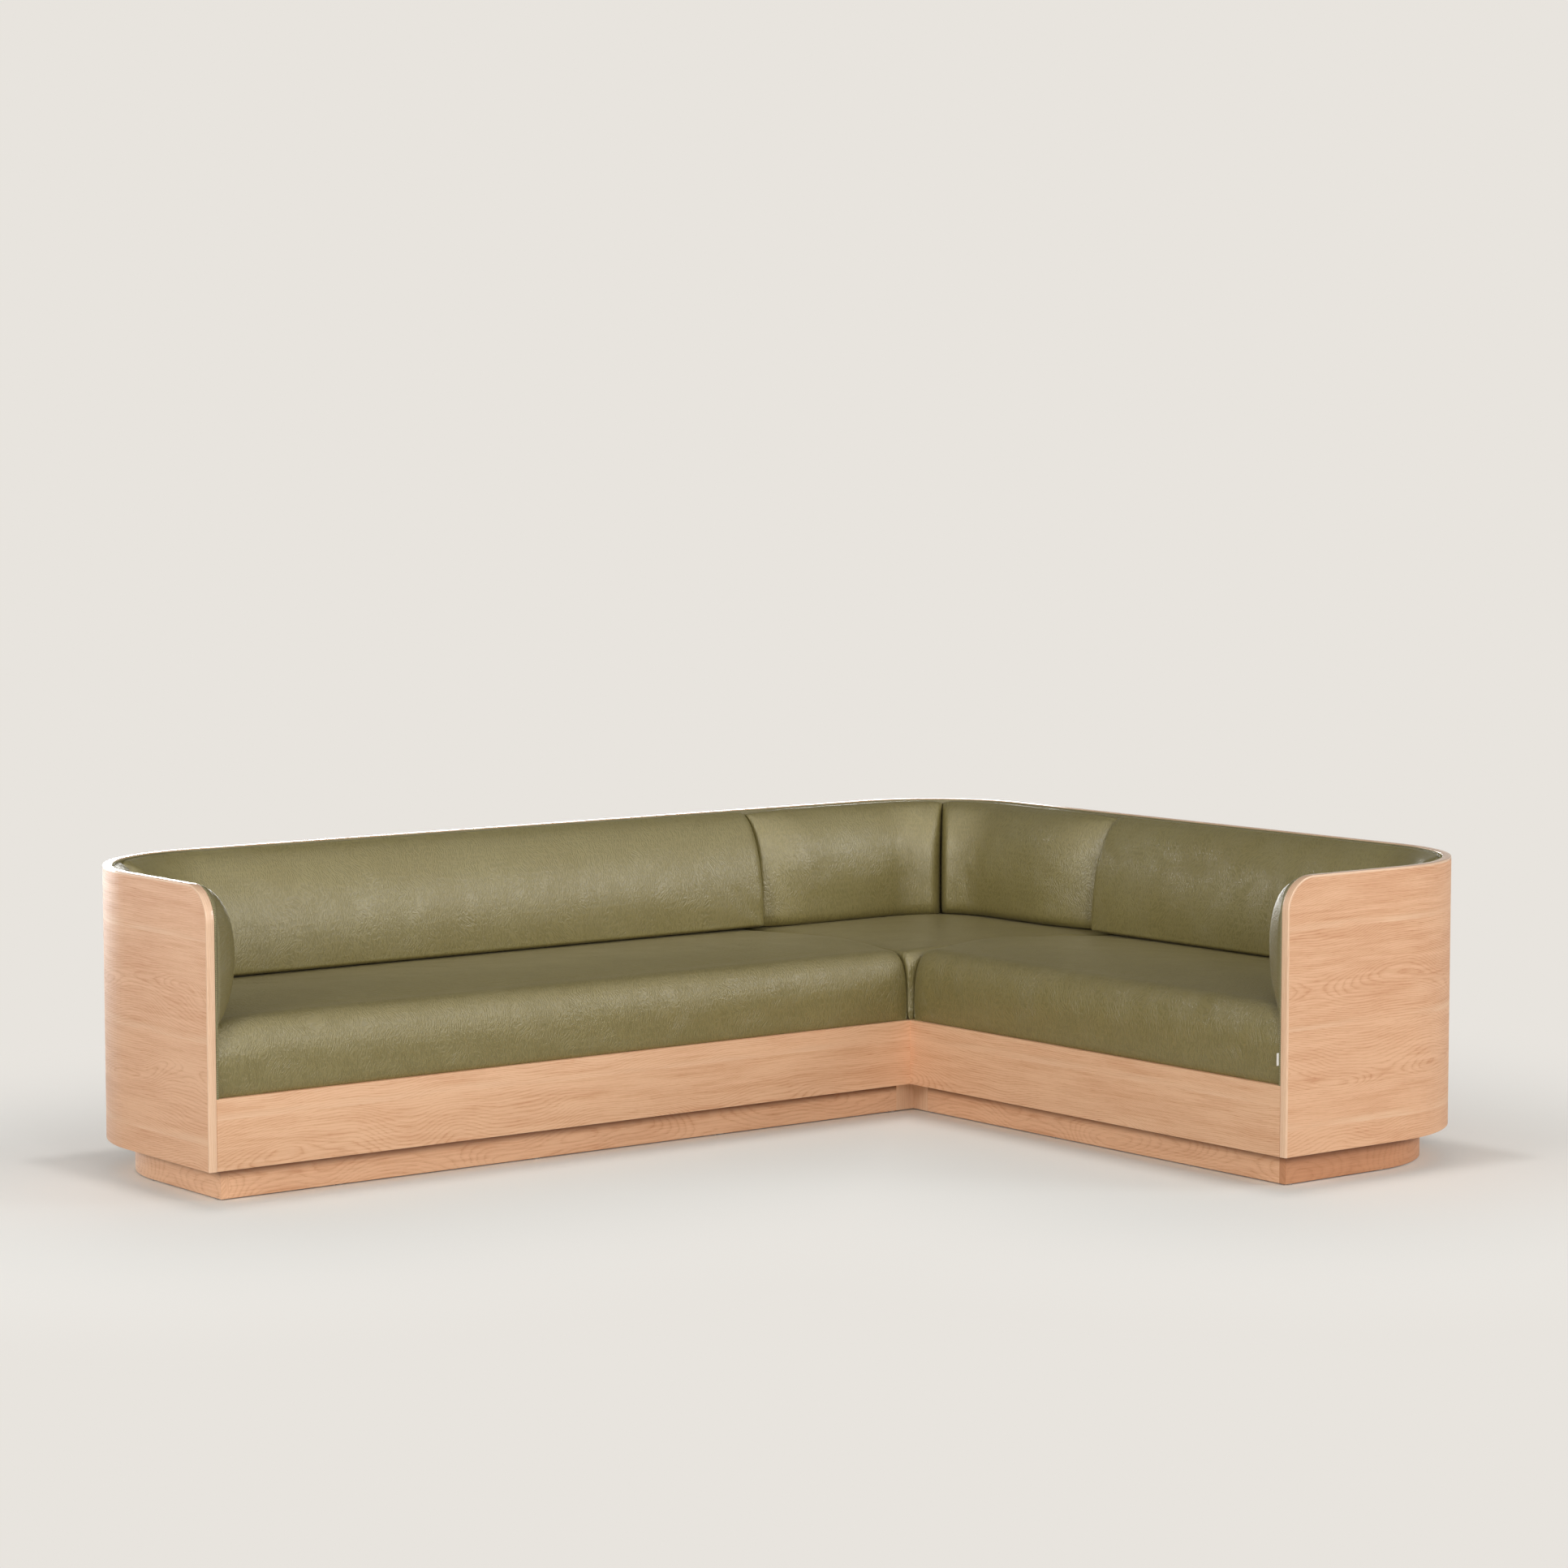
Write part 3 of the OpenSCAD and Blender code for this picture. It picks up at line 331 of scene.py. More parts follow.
# One face from four corners, with the corners named in rounding made round
def section(shape, corners, rounding):
    verts = [shape.verts.new(c) for c in corners]
    shape.faces.new(verts)
    for index, radius in rounding.items():
        bmesh.ops.bevel(shape, geom=[verts[index]], offset=radius, segments=3, profile=0.5,
                        affect="VERTICES", material=-1)
    shape.faces.ensure_lookup_table()
    face = shape.faces[0]
    around, step = shape.verts.layers.float["around"], 0.0
    ring = [loop.vert for loop in face.loops]
    for here, there in zip(ring, ring[1:] + ring[:1]):
        here[around] = step
        step += (there.co - here.co).length
    return face, step


# Draw a face along straight and turning moves, counting the way into the along layer
def sweep(shape, face, moves, start=0.0):
    along = shape.verts.layers.float["along"]
    way = start
    for vert in face.verts:
        vert[along] = way
    for move in moves:
        for step in range(move["steps"]):
            grown = bmesh.ops.extrude_face_region(shape, geom=[face])["geom"]
            verts = [g for g in grown if isinstance(g, bmesh.types.BMVert)]
            face = [g for g in grown if isinstance(g, bmesh.types.BMFace)][0]
            if "go" in move:
                part = Vector(move["go"]) / move["steps"]
                bmesh.ops.translate(shape, verts=verts, vec=part)
                way += part.length
            else:
                angle = move["turn"] / move["steps"]
                turn = Matrix.Rotation(angle, 3, move["axis"])
                bmesh.ops.rotate(shape, verts=verts, cent=move["about"], matrix=turn)
                way += abs(angle) * move["radius"]
            for vert in verts:
                vert[along] = way
    return face


# UV from the two layers, in metres, with no stretch where the ring closes
def unwrap(shape, girth):
    along, around = shape.verts.layers.float["along"], shape.verts.layers.float["around"]
    uv = shape.loops.layers.uv["UVMap"]
    for face in shape.faces:
        values = [loop.vert[around] for loop in face.loops]
        wraps = max(values) - min(values) > girth / 2
        for loop, value in zip(face.loops, values):
            lifted = value + girth if wraps and value < girth / 2 else value
            loop[uv].uv = (loop.vert[along], lifted)


# Turn a shape made in a wing's own frame into a piece on the sofa
def finishPiece(shape, name, place, material, nodes, sharp=35):
    bmesh.ops.remove_doubles(shape, verts=shape.verts, dist=1e-6)
    shape.transform(place)
    bmesh.ops.recalc_face_normals(shape, faces=shape.faces)
    mesh = bpy.data.meshes.new(name + "_finished")
    shape.to_mesh(mesh)
    shape.free()
    mesh.shade_smooth()
    if sharp:
        mesh.set_sharp_from_angle(angle=math.radians(sharp))
    for each in material if isinstance(material, list) else [material]:
        mesh.materials.append(each)
    piece = bpy.data.objects.new(name + "_finished", mesh)
    bpy.context.scene.collection.objects.link(piece)
    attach(piece, "root")
    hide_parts(*nodes)
    return piece


# Moves round a wing's curve, with the section starting at depth v in front of the curve
def roundTheCurve(first, rad, start, past=0.0, steps=28):
    moves = []
    if first > start:
        moves.append({"go": (0, first - start, 0), "steps": 1})
    moves.append({"turn": -math.pi / 2, "axis": "Z", "about": (rad, first, 0), "radius": rad,
                  "steps": steps})
    if past:
        moves.append({"go": (past, 0, 0), "steps": 1})
    return moves


# Round the front top corner of an arm with a fan of cuts
def cutArmCorner(shape, radius, steps=14):
    centre = Vector((0, armTopRad, topZ - armTopRad))
    for step in range(steps):
        angle = math.pi / 2 * (step + 0.5) / steps
        outward = Vector((0, -math.cos(angle), math.sin(angle)))
        cut = bmesh.ops.bisect_plane(shape, geom=shape.verts[:] + shape.edges[:] + shape.faces[:],
                                     plane_co=centre + outward * radius, plane_no=outward,
                                     clear_outer=True, dist=1e-7)
        edges = [g for g in cut["geom_cut"] if isinstance(g, bmesh.types.BMEdge) and g.is_boundary]
        bmesh.ops.holes_fill(shape, edges=edges, sides=0)


# The bent wall: five panels whose grain runs on from one to the next
def wallSection(shape, t0, t1, v, z0, z1, rounding=None):
    return section(shape, [(t0, v, z0), (t0, v, z1), (t1, v, z1), (t1, v, z0)], rounding or {})


def armShell(name, place, wayStart):
    shape = newShape()
    face, girth = wallSection(shape, 0, wallT, bandT, shellZ, bandZ, {0: 1.2 * mm})
    sweep(shape, face, roundTheCurve(endFirst, endRad, bandT), wayStart)
    cutArmCorner(shape, armTopRad - bandT)
    unwrap(shape, girth)
    return finishPiece(shape, name, place, oakVeneer, [name])


def straightShell(name, place, run, wayStart):
    shape = newShape()
    length = run + cornerFirst - endRad
    corners = [(endRad, wingDeep, shellZ), (endRad, wingDeep, bandZ),
               (endRad, wingDeep - wallT, bandZ), (endRad, wingDeep - wallT, shellZ)]
    face, girth = section(shape, corners, {0: 1.2 * mm})
    sweep(shape, face, [{"go": (length, 0, 0), "steps": 6}], wayStart)
    unwrap(shape, girth)
    return finishPiece(shape, name, place, oakVeneer, [name])


def cornerShell(name, place, wayStart):
    shape = newShape()
    face, girth = wallSection(shape, 0, wallT, cornerFirst, shellZ, bandZ, {0: 1.2 * mm})
    sweep(shape, face, roundTheCurve(cornerFirst, cornerRad, cornerFirst), wayStart)
    unwrap(shape, girth)
    return finishPiece(shape, name, place, oakVeneer, [name])


endWay = endFirst + endRad * math.pi / 2
longWay = longRun + cornerFirst - endRad
shortWay = shortRun + cornerFirst - endRad
armShell("left_arm_shell", onLong, 0.3)
straightShell("long_back_shell", onLong, longRun, 0.3 + endWay)
cornerShell("corner_shell", onCornerRight, 2.0)
straightShell("short_back_shell", onShort, shortRun, 5.3 + endWay)
armShell("right_arm_shell", onShort, 5.3)
print("shell made")


# Solid edge band: up the front of an arm, over its rounded corner and along the rim
edgeLook = {"arris": 1.6}   # radius of the sanded edges, mm


def armBand(name, place):
    shape = newShape()
    arris = edgeLook["arris"] * mm
    corners = [(0, 0, shellZ), (wallT, 0, shellZ), (wallT, bandT, shellZ), (0, bandT, shellZ)]
    face, girth = section(shape, corners, {0: arris, 1: arris})
    straight = topZ - armTopRad - shellZ
    moves = [{"go": (0, 0, straight), "steps": 4},
             {"turn": -math.pi / 2, "axis": "X", "about": (0, armTopRad, topZ - armTopRad),
              "radius": armTopRad, "steps": 14},
             {"go": (0, endFirst - armTopRad, 0), "steps": 3},
             {"turn": -math.pi / 2, "axis": "Z", "about": (endRad, endFirst, 0), "radius": endRad,
              "steps": 28}]
    sweep(shape, face, moves)
    unwrap(shape, girth)
    return finishPiece(shape, name, place, oakSolid, [name])


def straightRim(name, place, run):
    shape = newShape()
    arris = edgeLook["arris"] * mm
    corners = [(endRad, wingDeep - wallT, bandZ), (endRad, wingDeep - wallT, topZ),
               (endRad, wingDeep, topZ), (endRad, wingDeep, bandZ)]
    face, girth = section(shape, corners, {1: arris, 2: arris})
    sweep(shape, face, [{"go": (run + cornerFirst - endRad, 0, 0), "steps": 6}])
    unwrap(shape, girth)
    return finishPiece(shape, name, place, oakSolid, [name])


def cornerRim(name, place):
    shape = newShape()
    arris = edgeLook["arris"] * mm
    face, girth = wallSection(shape, 0, wallT, cornerFirst, bandZ, topZ, {1: arris, 2: arris})
    sweep(shape, face, roundTheCurve(cornerFirst, cornerRad, cornerFirst))
    unwrap(shape, girth)
    return finishPiece(shape, name, place, oakSolid, [name])


armBand("left_arm_edge_band", onLong)
armBand("right_arm_edge_band", onShort)
straightRim("long_back_rim", onLong, longRun)
straightRim("short_back_rim", onShort, shortRun)
cornerRim("corner_rim", onCornerRight)
print("edge bands made")


# Leather liners with a row of stitches round their open edge
linerLook = {"edge": 2.2, "stitch": 4.4, "thread": (1.3, 2.0)}


# One stitch: a small drop that lies along the edge
def threadBead(shape, at, forward, outward):
    half, thick = linerLook["thread"][0] * mm, linerLook["thread"][1] * mm
    side = forward.cross(outward).normalized()
    turn = Matrix((side * thick * 1.15, forward * (half + thick * 0.45), outward * thick * 0.55)).transposed()
    bead = bmesh.ops.create_icosphere(shape, subdivisions=1, radius=1.0,
                                      matrix=Matrix.Translation(at) @ turn.to_4x4())
    for face in {f for v in bead["verts"] for f in v.link_faces}:
        face.material_index = 1


# Stitches at even spacing along a path of (point, outward) pairs
def stitchEdge(shape, path):
    pitch, carried = linerLook["stitch"] * mm, 0.0
    for (here, out), (there, outNext) in zip(path, path[1:]):
        length = (there - here).length
        while carried < length:
            share = carried / length
            threadBead(shape, here.lerp(there, share), (there - here).normalized(),
                       out.lerp(outNext, share).normalized())
            carried += pitch
        carried -= length


def armLiner(name, place):
    shape = newShape()
    face, girth = wallSection(shape, wallIn, linerIn, linerBack, seatZ, linerZ)
    sweep(shape, face, roundTheCurve(endFirst, endRad, linerBack))
    cutArmCorner(shape, armTopRad - linerBack)
    unwrap(shape, girth)
    middle = (wallIn + linerIn) / 2
    radius = armTopRad - linerBack
    path = [(Vector((middle, linerBack, seatZ + 2 * mm)), Vector((0, -1, 0)))]
    for step in range(13):
        a = math.pi / 2 * step / 12
        out = Vector((0, -math.cos(a), math.sin(a)))
        path.append((Vector((middle, armTopRad, topZ - armTopRad)) + out * radius, out))
    for step in range(25):
        a = math.pi / 2 * step / 24
        path.append((Vector((endRad - (endRad - middle) * math.cos(a),
                             endFirst + (endRad - middle) * math.sin(a), linerZ)), Vector((0, 0, 1))))
    stitchEdge(shape, path)
    return finishPiece(shape, name, place, [armLeather, thread], [name], sharp=50)


def straightLiner(name, place, run):
    shape = newShape()
    soft = linerLook["edge"] * mm
    length = run + cornerFirst - endRad
    v0, v1 = wingDeep - linerIn, wingDeep - wallIn
    corners = [(endRad, v1, seatZ), (endRad, v1, linerZ), (endRad, v0, linerZ), (endRad, v0, seatZ)]
    face, girth = section(shape, corners, {1: soft, 2: soft})
    sweep(shape, face, [{"go": (length, 0, 0), "steps": 6}])
    unwrap(shape, girth)
    middle = (v0 + v1) / 2
    stitchEdge(shape, [(Vector((endRad, middle, linerZ)), Vector((0, 0, 1))),
                       (Vector((endRad + length, middle, linerZ)), Vector((0, 0, 1)))])
    return finishPiece(shape, name, place, [armLeather, thread], [name], sharp=50)


def cornerLiner(name, place):
    shape = newShape()
    soft = linerLook["edge"] * mm
    face, girth = wallSection(shape, wallIn, linerIn, cornerFirst, seatZ, linerZ, {1: soft, 2: soft})
    sweep(shape, face, roundTheCurve(cornerFirst, cornerRad, cornerFirst))
    unwrap(shape, girth)
    reach = cornerRad - (wallIn + linerIn) / 2
    path = []
    for step in range(25):
        a = math.pi / 2 * step / 24
        path.append((Vector((cornerRad - reach * math.cos(a), cornerFirst + reach * math.sin(a),
                             linerZ)), Vector((0, 0, 1))))
    stitchEdge(shape, path)
    return finishPiece(shape, name, place, [armLeather, thread], [name], sharp=50)


armLiner("left_arm_liner", onLong)
armLiner("right_arm_liner", onShort)
straightLiner("long_back_liner", onLong, longRun)
straightLiner("short_back_liner", onShort, shortRun)
cornerLiner("corner_liner", onCornerRight)
print("liners made")


# Aprons, mitred in the inner corner
def apron(name, place, run):
    shape = newShape()
    fine = 0.9 * mm
    corners = [(wallT, 0, shellZ), (wallT, 0, seatZ), (wallT, boardT, seatZ), (wallT, boardT, shellZ)]
    face, girth = section(shape, corners, {0: fine, 1: fine})
    end = sweep(shape, face, [{"go": (run - wallT, 0, 0), "steps": 4}], 0.8 if run > 1.5 else 3.1)
    for vert in end.verts:
        vert.co.x += vert.co.y
    unwrap(shape, girth)
    return finishPiece(shape, name, place, oakApron, [name])


# Plinth boards on their glides
def plinthBoard(name, place, corners, moves, wayStart=0.0):
    shape = newShape()
    face, girth = section(shape, corners, {0: 0.8 * mm, 1: 0.8 * mm})
    sweep(shape, face, moves, wayStart)
    unwrap(shape, girth)
    oaks = oakShade if name == "plinth_right_end" else oakPlinth
    return finishPiece(shape, name, place, oaks, [name])


def boardCorners(u, v0, v1):
    return [(u, v0, plinthZ), (u, v0, shellZ), (u, v1, shellZ), (u, v1, plinthZ)]


apron("long_apron", onLong, longRun)
apron("short_apron", onShort, shortRun)
plinthOut = plinthIn + boardT
for name, place, run in [("plinth_long_front", onLong, longRun), ("plinth_short_front", onShort, shortRun)]:
    plinthBoard(name, place, boardCorners(plinthOut, plinthIn, plinthOut),
                [{"go": (run - boardT - postW, 0, 0), "steps": 3}], run)
for name, place, run in [("plinth_long_back", onLong, longRun), ("plinth_short_back", onShort, shortRun)]:
    plinthBoard(name, place, boardCorners(endRad, wingDeep - plinthIn, wingDeep - plinthOut),
                [{"go": (run + cornerFirst - endRad, 0, 0), "steps": 3}], run + 2)
for name, place in [("plinth_left_end", onLong), ("plinth_right_end", onShort)]:
    plinthBoard(name, place, [(plinthIn, plinthIn, plinthZ), (plinthIn, plinthIn, shellZ),
                              (plinthOut, plinthIn, shellZ), (plinthOut, plinthIn, plinthZ)],
                roundTheCurve(endFirst, endRad, plinthIn), 7.0)
plinthBoard("plinth_corner", onCornerRight,
            [(plinthIn, cornerFirst, plinthZ), (plinthIn, cornerFirst, shellZ),
             (plinthOut, cornerFirst, shellZ), (plinthOut, cornerFirst, plinthZ)],
            roundTheCurve(cornerFirst, cornerRad, cornerFirst), 9.0)


# Two upright faces with vertical grain, joined in an L
def innerPost(name):
    shape = newShape()
    x, y, w, t = innerX + plinthIn, innerY + plinthIn, postW, boardT
    outline = [(x - w, y), (x, y), (x, y - w), (x + t, y - w), (x + t, y + t), (x - w, y + t)]
    verts = [shape.verts.new((px, py, plinthZ)) for px, py in outline]
    face = shape.faces.new(verts)
    around, step = shape.verts.layers.float["around"], 0.0
    for here, there in zip(verts, verts[1:] + verts[:1]):
        here[around] = step
        step += (there.co - here.co).length
    sweep(shape, face, [{"go": (0, 0, shellZ - plinthZ), "steps": 1}])
    unwrap(shape, step)
    return finishPiece(shape, name, Matrix.Identity(4), oakSolid, [name])


innerPost("plinth_inner_post")
print("aprons and plinth made")


# Soft forms
def ease(d, l):
    return 0.0 if d <= 0 else 1.0 if d >= l else 1 - (1 - d / l) ** 2


def swell(d, l):
    return 0.0 if d <= 0 else 1.0 if d >= l else math.sqrt(1 - (1 - d / l) ** 2)


# A flat arc that meets the seam at about 45 degrees
def slope(d, l):
    return 0.0 if d <= 0 else 1.0 if d >= l else 1 - (1 - d / l) ** 2.2


def mix(a, b, k):
    return a + (b - a) * k


# A point at way s along the liner and at depth t in front of it
def wallPoint(s, t, first, rad):
    r = rad - softIn
    arc = r * math.pi / 2
    if s < first:
        return Vector((softIn + t, s, 0))
    if s < first + arc:
        a = (s - first) / r
        return Vector((rad - (r - t) * math.cos(a), first + (r - t) * math.sin(a), 0))
    return Vector((rad + s - first - arc, first + r - t, 0))


# A grid whose squares take the places that point(i, j) gives
def softSheet(across, along, point):
    shape = newShape()
    held = shape.verts.layers.float.new("held")
    bmesh.ops.create_grid(shape, x_segments=along, y_segments=across, size=0.5)
    uv = shape.loops.layers.uv["UVMap"]
    keys = {}
    for vert in shape.verts:
        i, j = round((vert.co.x + 0.5) * along), round((vert.co.y + 0.5) * across)
        keys[vert] = (i, j)
        vert[held] = float(i in (0, along) or j in (0, across))
    places = {key: point(*key) for key in set(keys.values())}
    for face in shape.faces:
        for loop in face.loops:
            key = keys[loop.vert]
            loop[uv].uv = places[key][1]
    for vert, key in keys.items():
        vert.co = places[key][0]
    return shape


# Double the sheet, and press its second layer onto what the cushion lies on
def closeBehind(shape, press):
    held = shape.verts.layers.float["held"]
    grown = bmesh.ops.extrude_face_region(shape, geom=shape.faces[:])["geom"]
    for vert in [g for g in grown if isinstance(g, bmesh.types.BMVert)]:
        vert.co = press(vert.co)
        vert[held] = 1.0
    bmesh.ops.remove_doubles(shape, verts=shape.verts, dist=1e-5)


# Seats
seatLook = {
    "rest": 405, "crown": 19, "frontFall": 22, "bulge": 7, "armDrop": 12, "frontDeep": 76, "frontHigh": 150, "boxy": 3.2,
    "armDeep": 92, "armHigh": 92, "blend": 170, "endRound": 44, "seamDrop": 15, "seamDraw": 10, "tuck": 4, "step": 14}
seats = {
    "long_seat_cushion": dict(seatLook, place=onLong, run=longRun, first=endFirst, rad=endRad, start=0.0),
    "short_seat_cushion": dict(seatLook, place=onShort, run=shortRun, first=endFirst, rad=endRad,
                               start=0.0, crown=25),
    "corner_seat_cushion": dict(seatLook, place=onCornerRight, run=wingDeep, first=cornerFirst,
                                rad=cornerRad, start=0.3 * mm, rest=402, crown=8, armDrop=0, frontFall=0, bulge=0,
                                frontDeep=40, frontHigh=40, armDeep=40, armHigh=40, boxy=2, blend=60)}


def seatShape(look):
    first, rad, run = look["first"], look["rad"], look["run"] - 0.3 * mm
    corner = look["place"] is onCornerRight
    rest, crown = look["rest"] * mm, look["crown"] * mm
    endRound, tuck = look["endRound"] * mm, look["tuck"] * mm
    arcWay = (rad - softIn) * math.pi / 2
    total = arcWay + run - rad
    along = round(total / (look["step"] * mm))
    frontRows, roundRows, topRows = 8, 12, round((wingDeep - 0.1) / (look["step"] * mm))
    across = frontRows + roundRows + topRows

    def station(i):
        way = total * i / along
        if way < arcWay:
            return rad - (rad - softIn) * math.cos(way / (rad - softIn))
        u = rad + way - arcWay
        last = run - endRound
        if u > last:   # closer rows over the soft end
            share = (u - last) / endRound
            u = last + endRound * math.sin(share * math.pi / 2)
        return u

    def backAt(u):
        if u < rad:
            return first + math.sqrt(max(0.0, (rad - softIn) ** 2 - (rad - u) ** 2))
        return first + rad - softIn

    # Height of the crown, which falls to the back, to the arm and over the soft end
    def topAt(u, v, last):
        back = backAt(max(u, softIn + 1e-6))
        if corner:
            full = ease(u - softIn - 90 * mm, 120 * mm) * ease(back - 90 * mm - v, 120 * mm)
        else:
            full = 1 - min(1.0, max(0.0, (v - 200 * mm) / (410 * mm)) ** 1.35)
        drop = look["armDrop"] * mm * (1 - ease(u - softIn, 170 * mm))
        drop += look["seamDrop"] * mm * (1 - last)
        drop += look["frontFall"] * mm * max(0.0, 1 - v / (300 * mm)) ** 2
        return rest + crown * full - drop

    def point(i, j):
        u = station(i)
        v0 = look["start"]
        last = swell(run - u, endRound)
        if corner:
            near = 0.0
        else:
            near = ease(u - softIn, look["blend"] * mm)
        rd = mix(look["armDeep"], look["frontDeep"], near) * mm
        rh = mix(look["armHigh"], look["frontHigh"], near) * mm
        power = 2 / mix(2, look["boxy"], near)
        draw = look["seamDraw"] * mm * (1 - last)
        roundTop = topAt(u, v0 + rd, last)
        if j <= frontRows:
            share = j / frontRows
            z = mix(seatZ, roundTop - rh, share)
            v = v0 + draw * min(1.0, share * 3) + tuck * (1 - swell(share, 0.3))
        elif j <= frontRows + roundRows:
            a = math.pi / 2 * (j - frontRows) / roundRows
            v = mix(v0 + draw, v0 + rd, 1 - max(0.0, math.cos(a)) ** power)
            z = roundTop - rh * (1 - math.sin(a) ** power)
        else:
            share = (j - frontRows - roundRows) / topRows
            v = mix(v0 + rd, backAt(u), share)
            z = topAt(u, v, last)
        girth = (z - seatZ) + (v - v0) if j > frontRows else z - seatZ
        v += look["bulge"] * mm * max(0.0, 1 - (z - seatZ) / (110 * mm)) ** 2   # tucked in below
        return Vector((u, v, z)), (u, girth)

    shape = softSheet(across, along, point)
    closeBehind(shape, lambda co: Vector((co.x, max(co.y, look["start"] + tuck + look["bulge"] * mm), seatZ)))
    return shape


# Back cushions and arm pads, which stand on the seats against the liner
padLook = {"thick": 117, "bottom": 405, "belly": 475, "top": 696, "foot": 0.76, "endRound": 40,
           "startRound": 40, "startShare": 0.6, "endShare": 0.6, "cornerDrop": 8, "step": 14, "boxy": 2.4}
longArc = (endRad - softIn) * math.pi / 4
cornerArc = (cornerRad - softIn) * math.pi / 4
gap = 0.3 * mm
pads = {
    "long_back_cushion": dict(padLook, place=onLong, first=endFirst, rad=endRad,
                              s0=endFirst + longArc + gap,
                              s1=endFirst + 2 * longArc + longRun + seamShift - endRad - gap, endShare=0.75,
                              endRound=26, belly=422, boxy=2, foot=0.86),
    "short_back_cushion": dict(padLook, place=onShort, first=endFirst, rad=endRad,
                               s0=endFirst + longArc + gap,
                               s1=endFirst + 2 * longArc + shortRun + seamShift - endRad - gap, endShare=0.75,
                               endRound=26, belly=422, boxy=2, foot=0.86),
    "corner_left_back_cushion": dict(padLook, place=onCornerLeft, first=cornerFirst, rad=cornerRad,
                                     s0=seamShift + gap, s1=cornerFirst + cornerArc - gap,
                                     startRound=150, startShare=0.62, pillow=True, bottom=403),
    "corner_right_back_cushion": dict(padLook, place=onCornerRight, first=cornerFirst, rad=cornerRad,
                                      s0=seamShift + gap, s1=cornerFirst + cornerArc - gap,
                                      startRound=230, startShare=0.35, pillow=True, bottom=403),
    "left_arm_pad": dict(padLook, place=onLong, first=endFirst, rad=endRad, s0=linerBack,
                         s1=endFirst + longArc - gap, thick=66, belly=548, arm=True, boxy=2, startShare=0.1, bottom=396),
    "right_arm_pad": dict(padLook, place=onShort, first=endFirst, rad=endRad, s0=linerBack,
                          s1=endFirst + longArc - gap, thick=66, belly=548, arm=True, boxy=2, startShare=0.1, bottom=396)}


def padShape(look):
    first, rad, s0, s1 = look["first"], look["rad"], look["s0"], look["s1"]
    bottom, belly, top = look["bottom"] * mm, look["belly"] * mm, look["top"] * mm
    isArm, boxy = look.get("arm", False), look["boxy"]
    endRound, startRound = look["endRound"] * mm, look["startRound"] * mm
    startSwell = slope if look.get("pillow") else swell
    along = round((s1 - s0) / (look["step"] * mm)) + 8
    across = 30

    def station(i):
        k = i / along
        eased = k - 0.35 * math.sin(2 * math.pi * k) / (2 * math.pi) * min(1.0, 0.25 / (s1 - s0) * 4)
        return mix(s0, s1, eased)

    def underArm(d):
        r = armTopRad - (topZ - top)
        return 0.0 if d >= r else r - math.sqrt(r * r - (r - d) ** 2)

    def profileAt(z, high):
        if z >= belly:
            return max(0.0, 1 - ((z - belly) / (high - belly) * 0.995) ** boxy) ** (1 / boxy)
        if isArm:
            return math.sqrt(max(0.0, 1 - ((belly - z) / (belly - bottom) * 0.99) ** 2))
        return 1 - (1 - look["foot"]) * ((belly - z) / (belly - bottom)) ** 7

    def point(i, j):
        s = station(i)
        w0, w1 = startSwell(s - s0, startRound), swell(s1 - s, endRound)
        thick = look["thick"] * mm * mix(look["startShare"], 1, w0) * mix(look["endShare"], 1, w1)
        if isArm:
            high = top - underArm(s - s0) - look["cornerDrop"] * mm * (1 - w1)
        else:
            high = top - look["cornerDrop"] * mm * (1 - w1) - look["cornerDrop"] * mm * (1 - w0)
        share = (1 - math.cos(math.pi * j / across)) / 2
        z = mix(bottom, high, share)
        t = thick * profileAt(z, high)
        p = wallPoint(s, t, first, rad)
        return Vector((p.x, p.y, z)), (s, z + (look["thick"] * mm - t) * 0.5)

    shape = softSheet(across, along, point)

    # Onto the liner's face
    def press(co):
        if co.y < first:
            return Vector((softIn, co.y, co.z))
        if co.x < rad:
            reach = Vector((co.x - rad, co.y - first, 0))
            reach = reach.normalized() * (rad - softIn)
            return Vector((rad + reach.x, first + reach.y, co.z))
        return Vector((co.x, first + rad - softIn, co.z))

    closeBehind(shape, press)
    return shape


# One pass of cloth for all soft pieces: pressure puffs the hide out between its sewn edges
puffLook = {"pressure": 4.0, "seatPressure": 0.6, "frames": 20, "cap": 4, "slack": 3.0, "stiff": 40}   # mm


